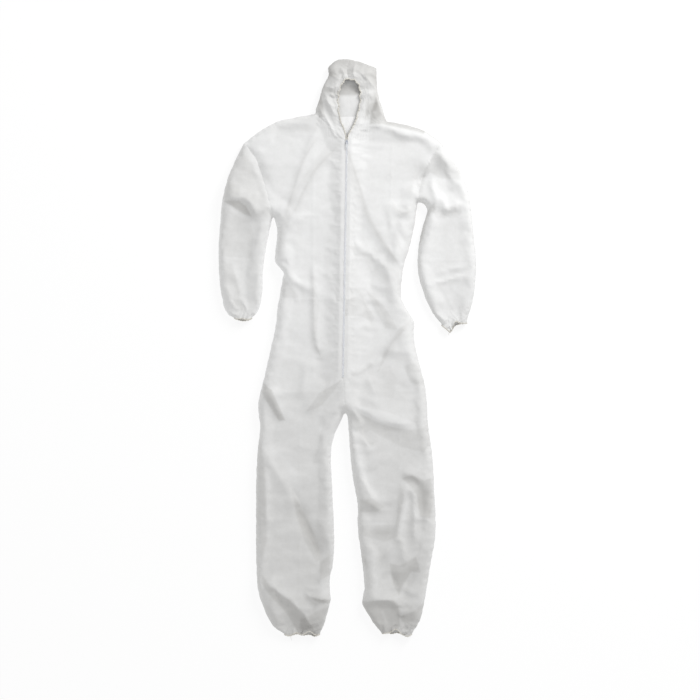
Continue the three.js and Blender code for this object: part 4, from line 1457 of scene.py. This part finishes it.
def enamel(name, dark, light):
    """Painted die-cast metal with worn, shinier spots."""
    made, tree, shader = material(name, 0.35)
    shader.inputs["Metallic"].default_value = 0.2
    wear = texture(tree, "Noise", 260, Detail=5, Roughness=0.6).outputs["Fac"]
    colored(tree, shader, wear, [(0.35, dark), (0.62, light)])
    tree.links.new(mapped(tree, wear, 0.3, 0.7, 0.26, 0.46), shader.inputs["Roughness"])
    bumps(tree, shader, (wear, 0.0001, 0.3))
    return made


def dress(piece, finish):
    """Gives a piece one material, whatever it had."""
    slots = piece.data.materials
    if slots:
        slots[0] = finish
    else:
        slots.append(finish)


# ---------------------------------------------------------------- camera, light and floor

PHOTO_WIDTH = 2.205  # metres across the picture, at the suit
LENS = 85
SENSOR = 36
CAMERA_AIM = Vector((0.008, -0.006, 0.03))


def add_camera():
    """The camera straight above the suit."""
    data = bpy.data.cameras.new("camera")
    data.lens = LENS
    data.sensor_width = SENSOR
    camera = bpy.data.objects.new("camera", data)
    bpy.context.scene.collection.objects.link(camera)
    camera.location = CAMERA_AIM + Vector((0, 0, PHOTO_WIDTH * LENS / SENSOR))
    bpy.context.scene.camera = camera


def add_area_light(name, place, target, size, power):
    data = bpy.data.lights.new(name, "AREA")
    data.size = size
    data.energy = power
    light = bpy.data.objects.new(name, data)
    bpy.context.scene.collection.objects.link(light)
    light.location = place
    light.rotation_euler = (Vector(target) - Vector(place)).to_track_quat("-Z", "Y").to_euler()


def add_lights():
    """White light from all round, and one soft studio light up and to the wearer's left."""
    world = bpy.data.worlds.new("studio")
    world.use_nodes = True
    background = world.node_tree.nodes["Background"].inputs
    background["Color"].default_value = (1, 1, 1, 1)
    background["Strength"].default_value = 0.71
    bpy.context.scene.world = world
    add_area_light("key", (1.9, 2.3, 1.7), (0, 0.1, 0), 1.4, 52)
    bpy.context.scene.view_settings.view_transform = "Standard"


FLOOR_REACH = 40


def add_floor():
    """A white studio floor, which glows enough to be as white as the world behind it."""
    corners = [(x * FLOOR_REACH, y * FLOOR_REACH, 0) for x, y in ((-1, -1), (1, -1), (1, 1), (-1, 1))]
    floor = new_object("floor", corners, [(0, 1, 2, 3)])
    made, _, shader = material("floor", 0.9)
    shader.inputs["Base Color"].default_value = (*gray(0.25), 1)
    shader.inputs["Specular IOR Level"].default_value = 0.1
    shader.inputs["Emission Color"].default_value = (1, 1, 1, 1)
    shader.inputs["Emission Strength"].default_value = 0.78
    floor.data.materials.append(made)


# ---------------------------------------------------------------- the scene

add_camera()
add_lights()
add_floor()

suit = suit_mesh()
region, tone = refine(suit)
panels = split_panels(suit, region, tone)
hems = add_hems(suit.data)
stitching = add_all_stitching(suit)
bpy.data.objects.remove(suit)
coils = add_coils()
label = add_label()
waist = add_waist_elastic()

CLOTH = nonwoven("nonwoven", True)
GATHERED = nonwoven("gathered nonwoven", False)
COIL, TAPE, SATIN, THREAD = coil_plastic(), woven_tape(), satin(), thread()
SLIDER_ENAMEL = enamel("grey-blue enamel", (0.42, 0.45, 0.52), (0.55, 0.58, 0.64))
PALE_ENAMEL = enamel("pale enamel", (0.76, 0.78, 0.81), (0.86, 0.87, 0.89))
for pieces, finish in (
    (panels.values(), CLOTH),
    ([*hems.values(), waist], GATHERED),
    (stitching.values(), THREAD),
    (coils, COIL),
    ([label], SATIN),
):
    for piece in pieces:
        dress(piece, finish)
for name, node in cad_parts.items():
    if name.startswith("zip_tape"):
        dress(node, TAPE)
    elif name == "zip_slider":
        dress(node, SLIDER_ENAMEL)
    elif name.startswith("zip"):
        dress(node, PALE_ENAMEL)
    else:
        dress(node, CLOTH)
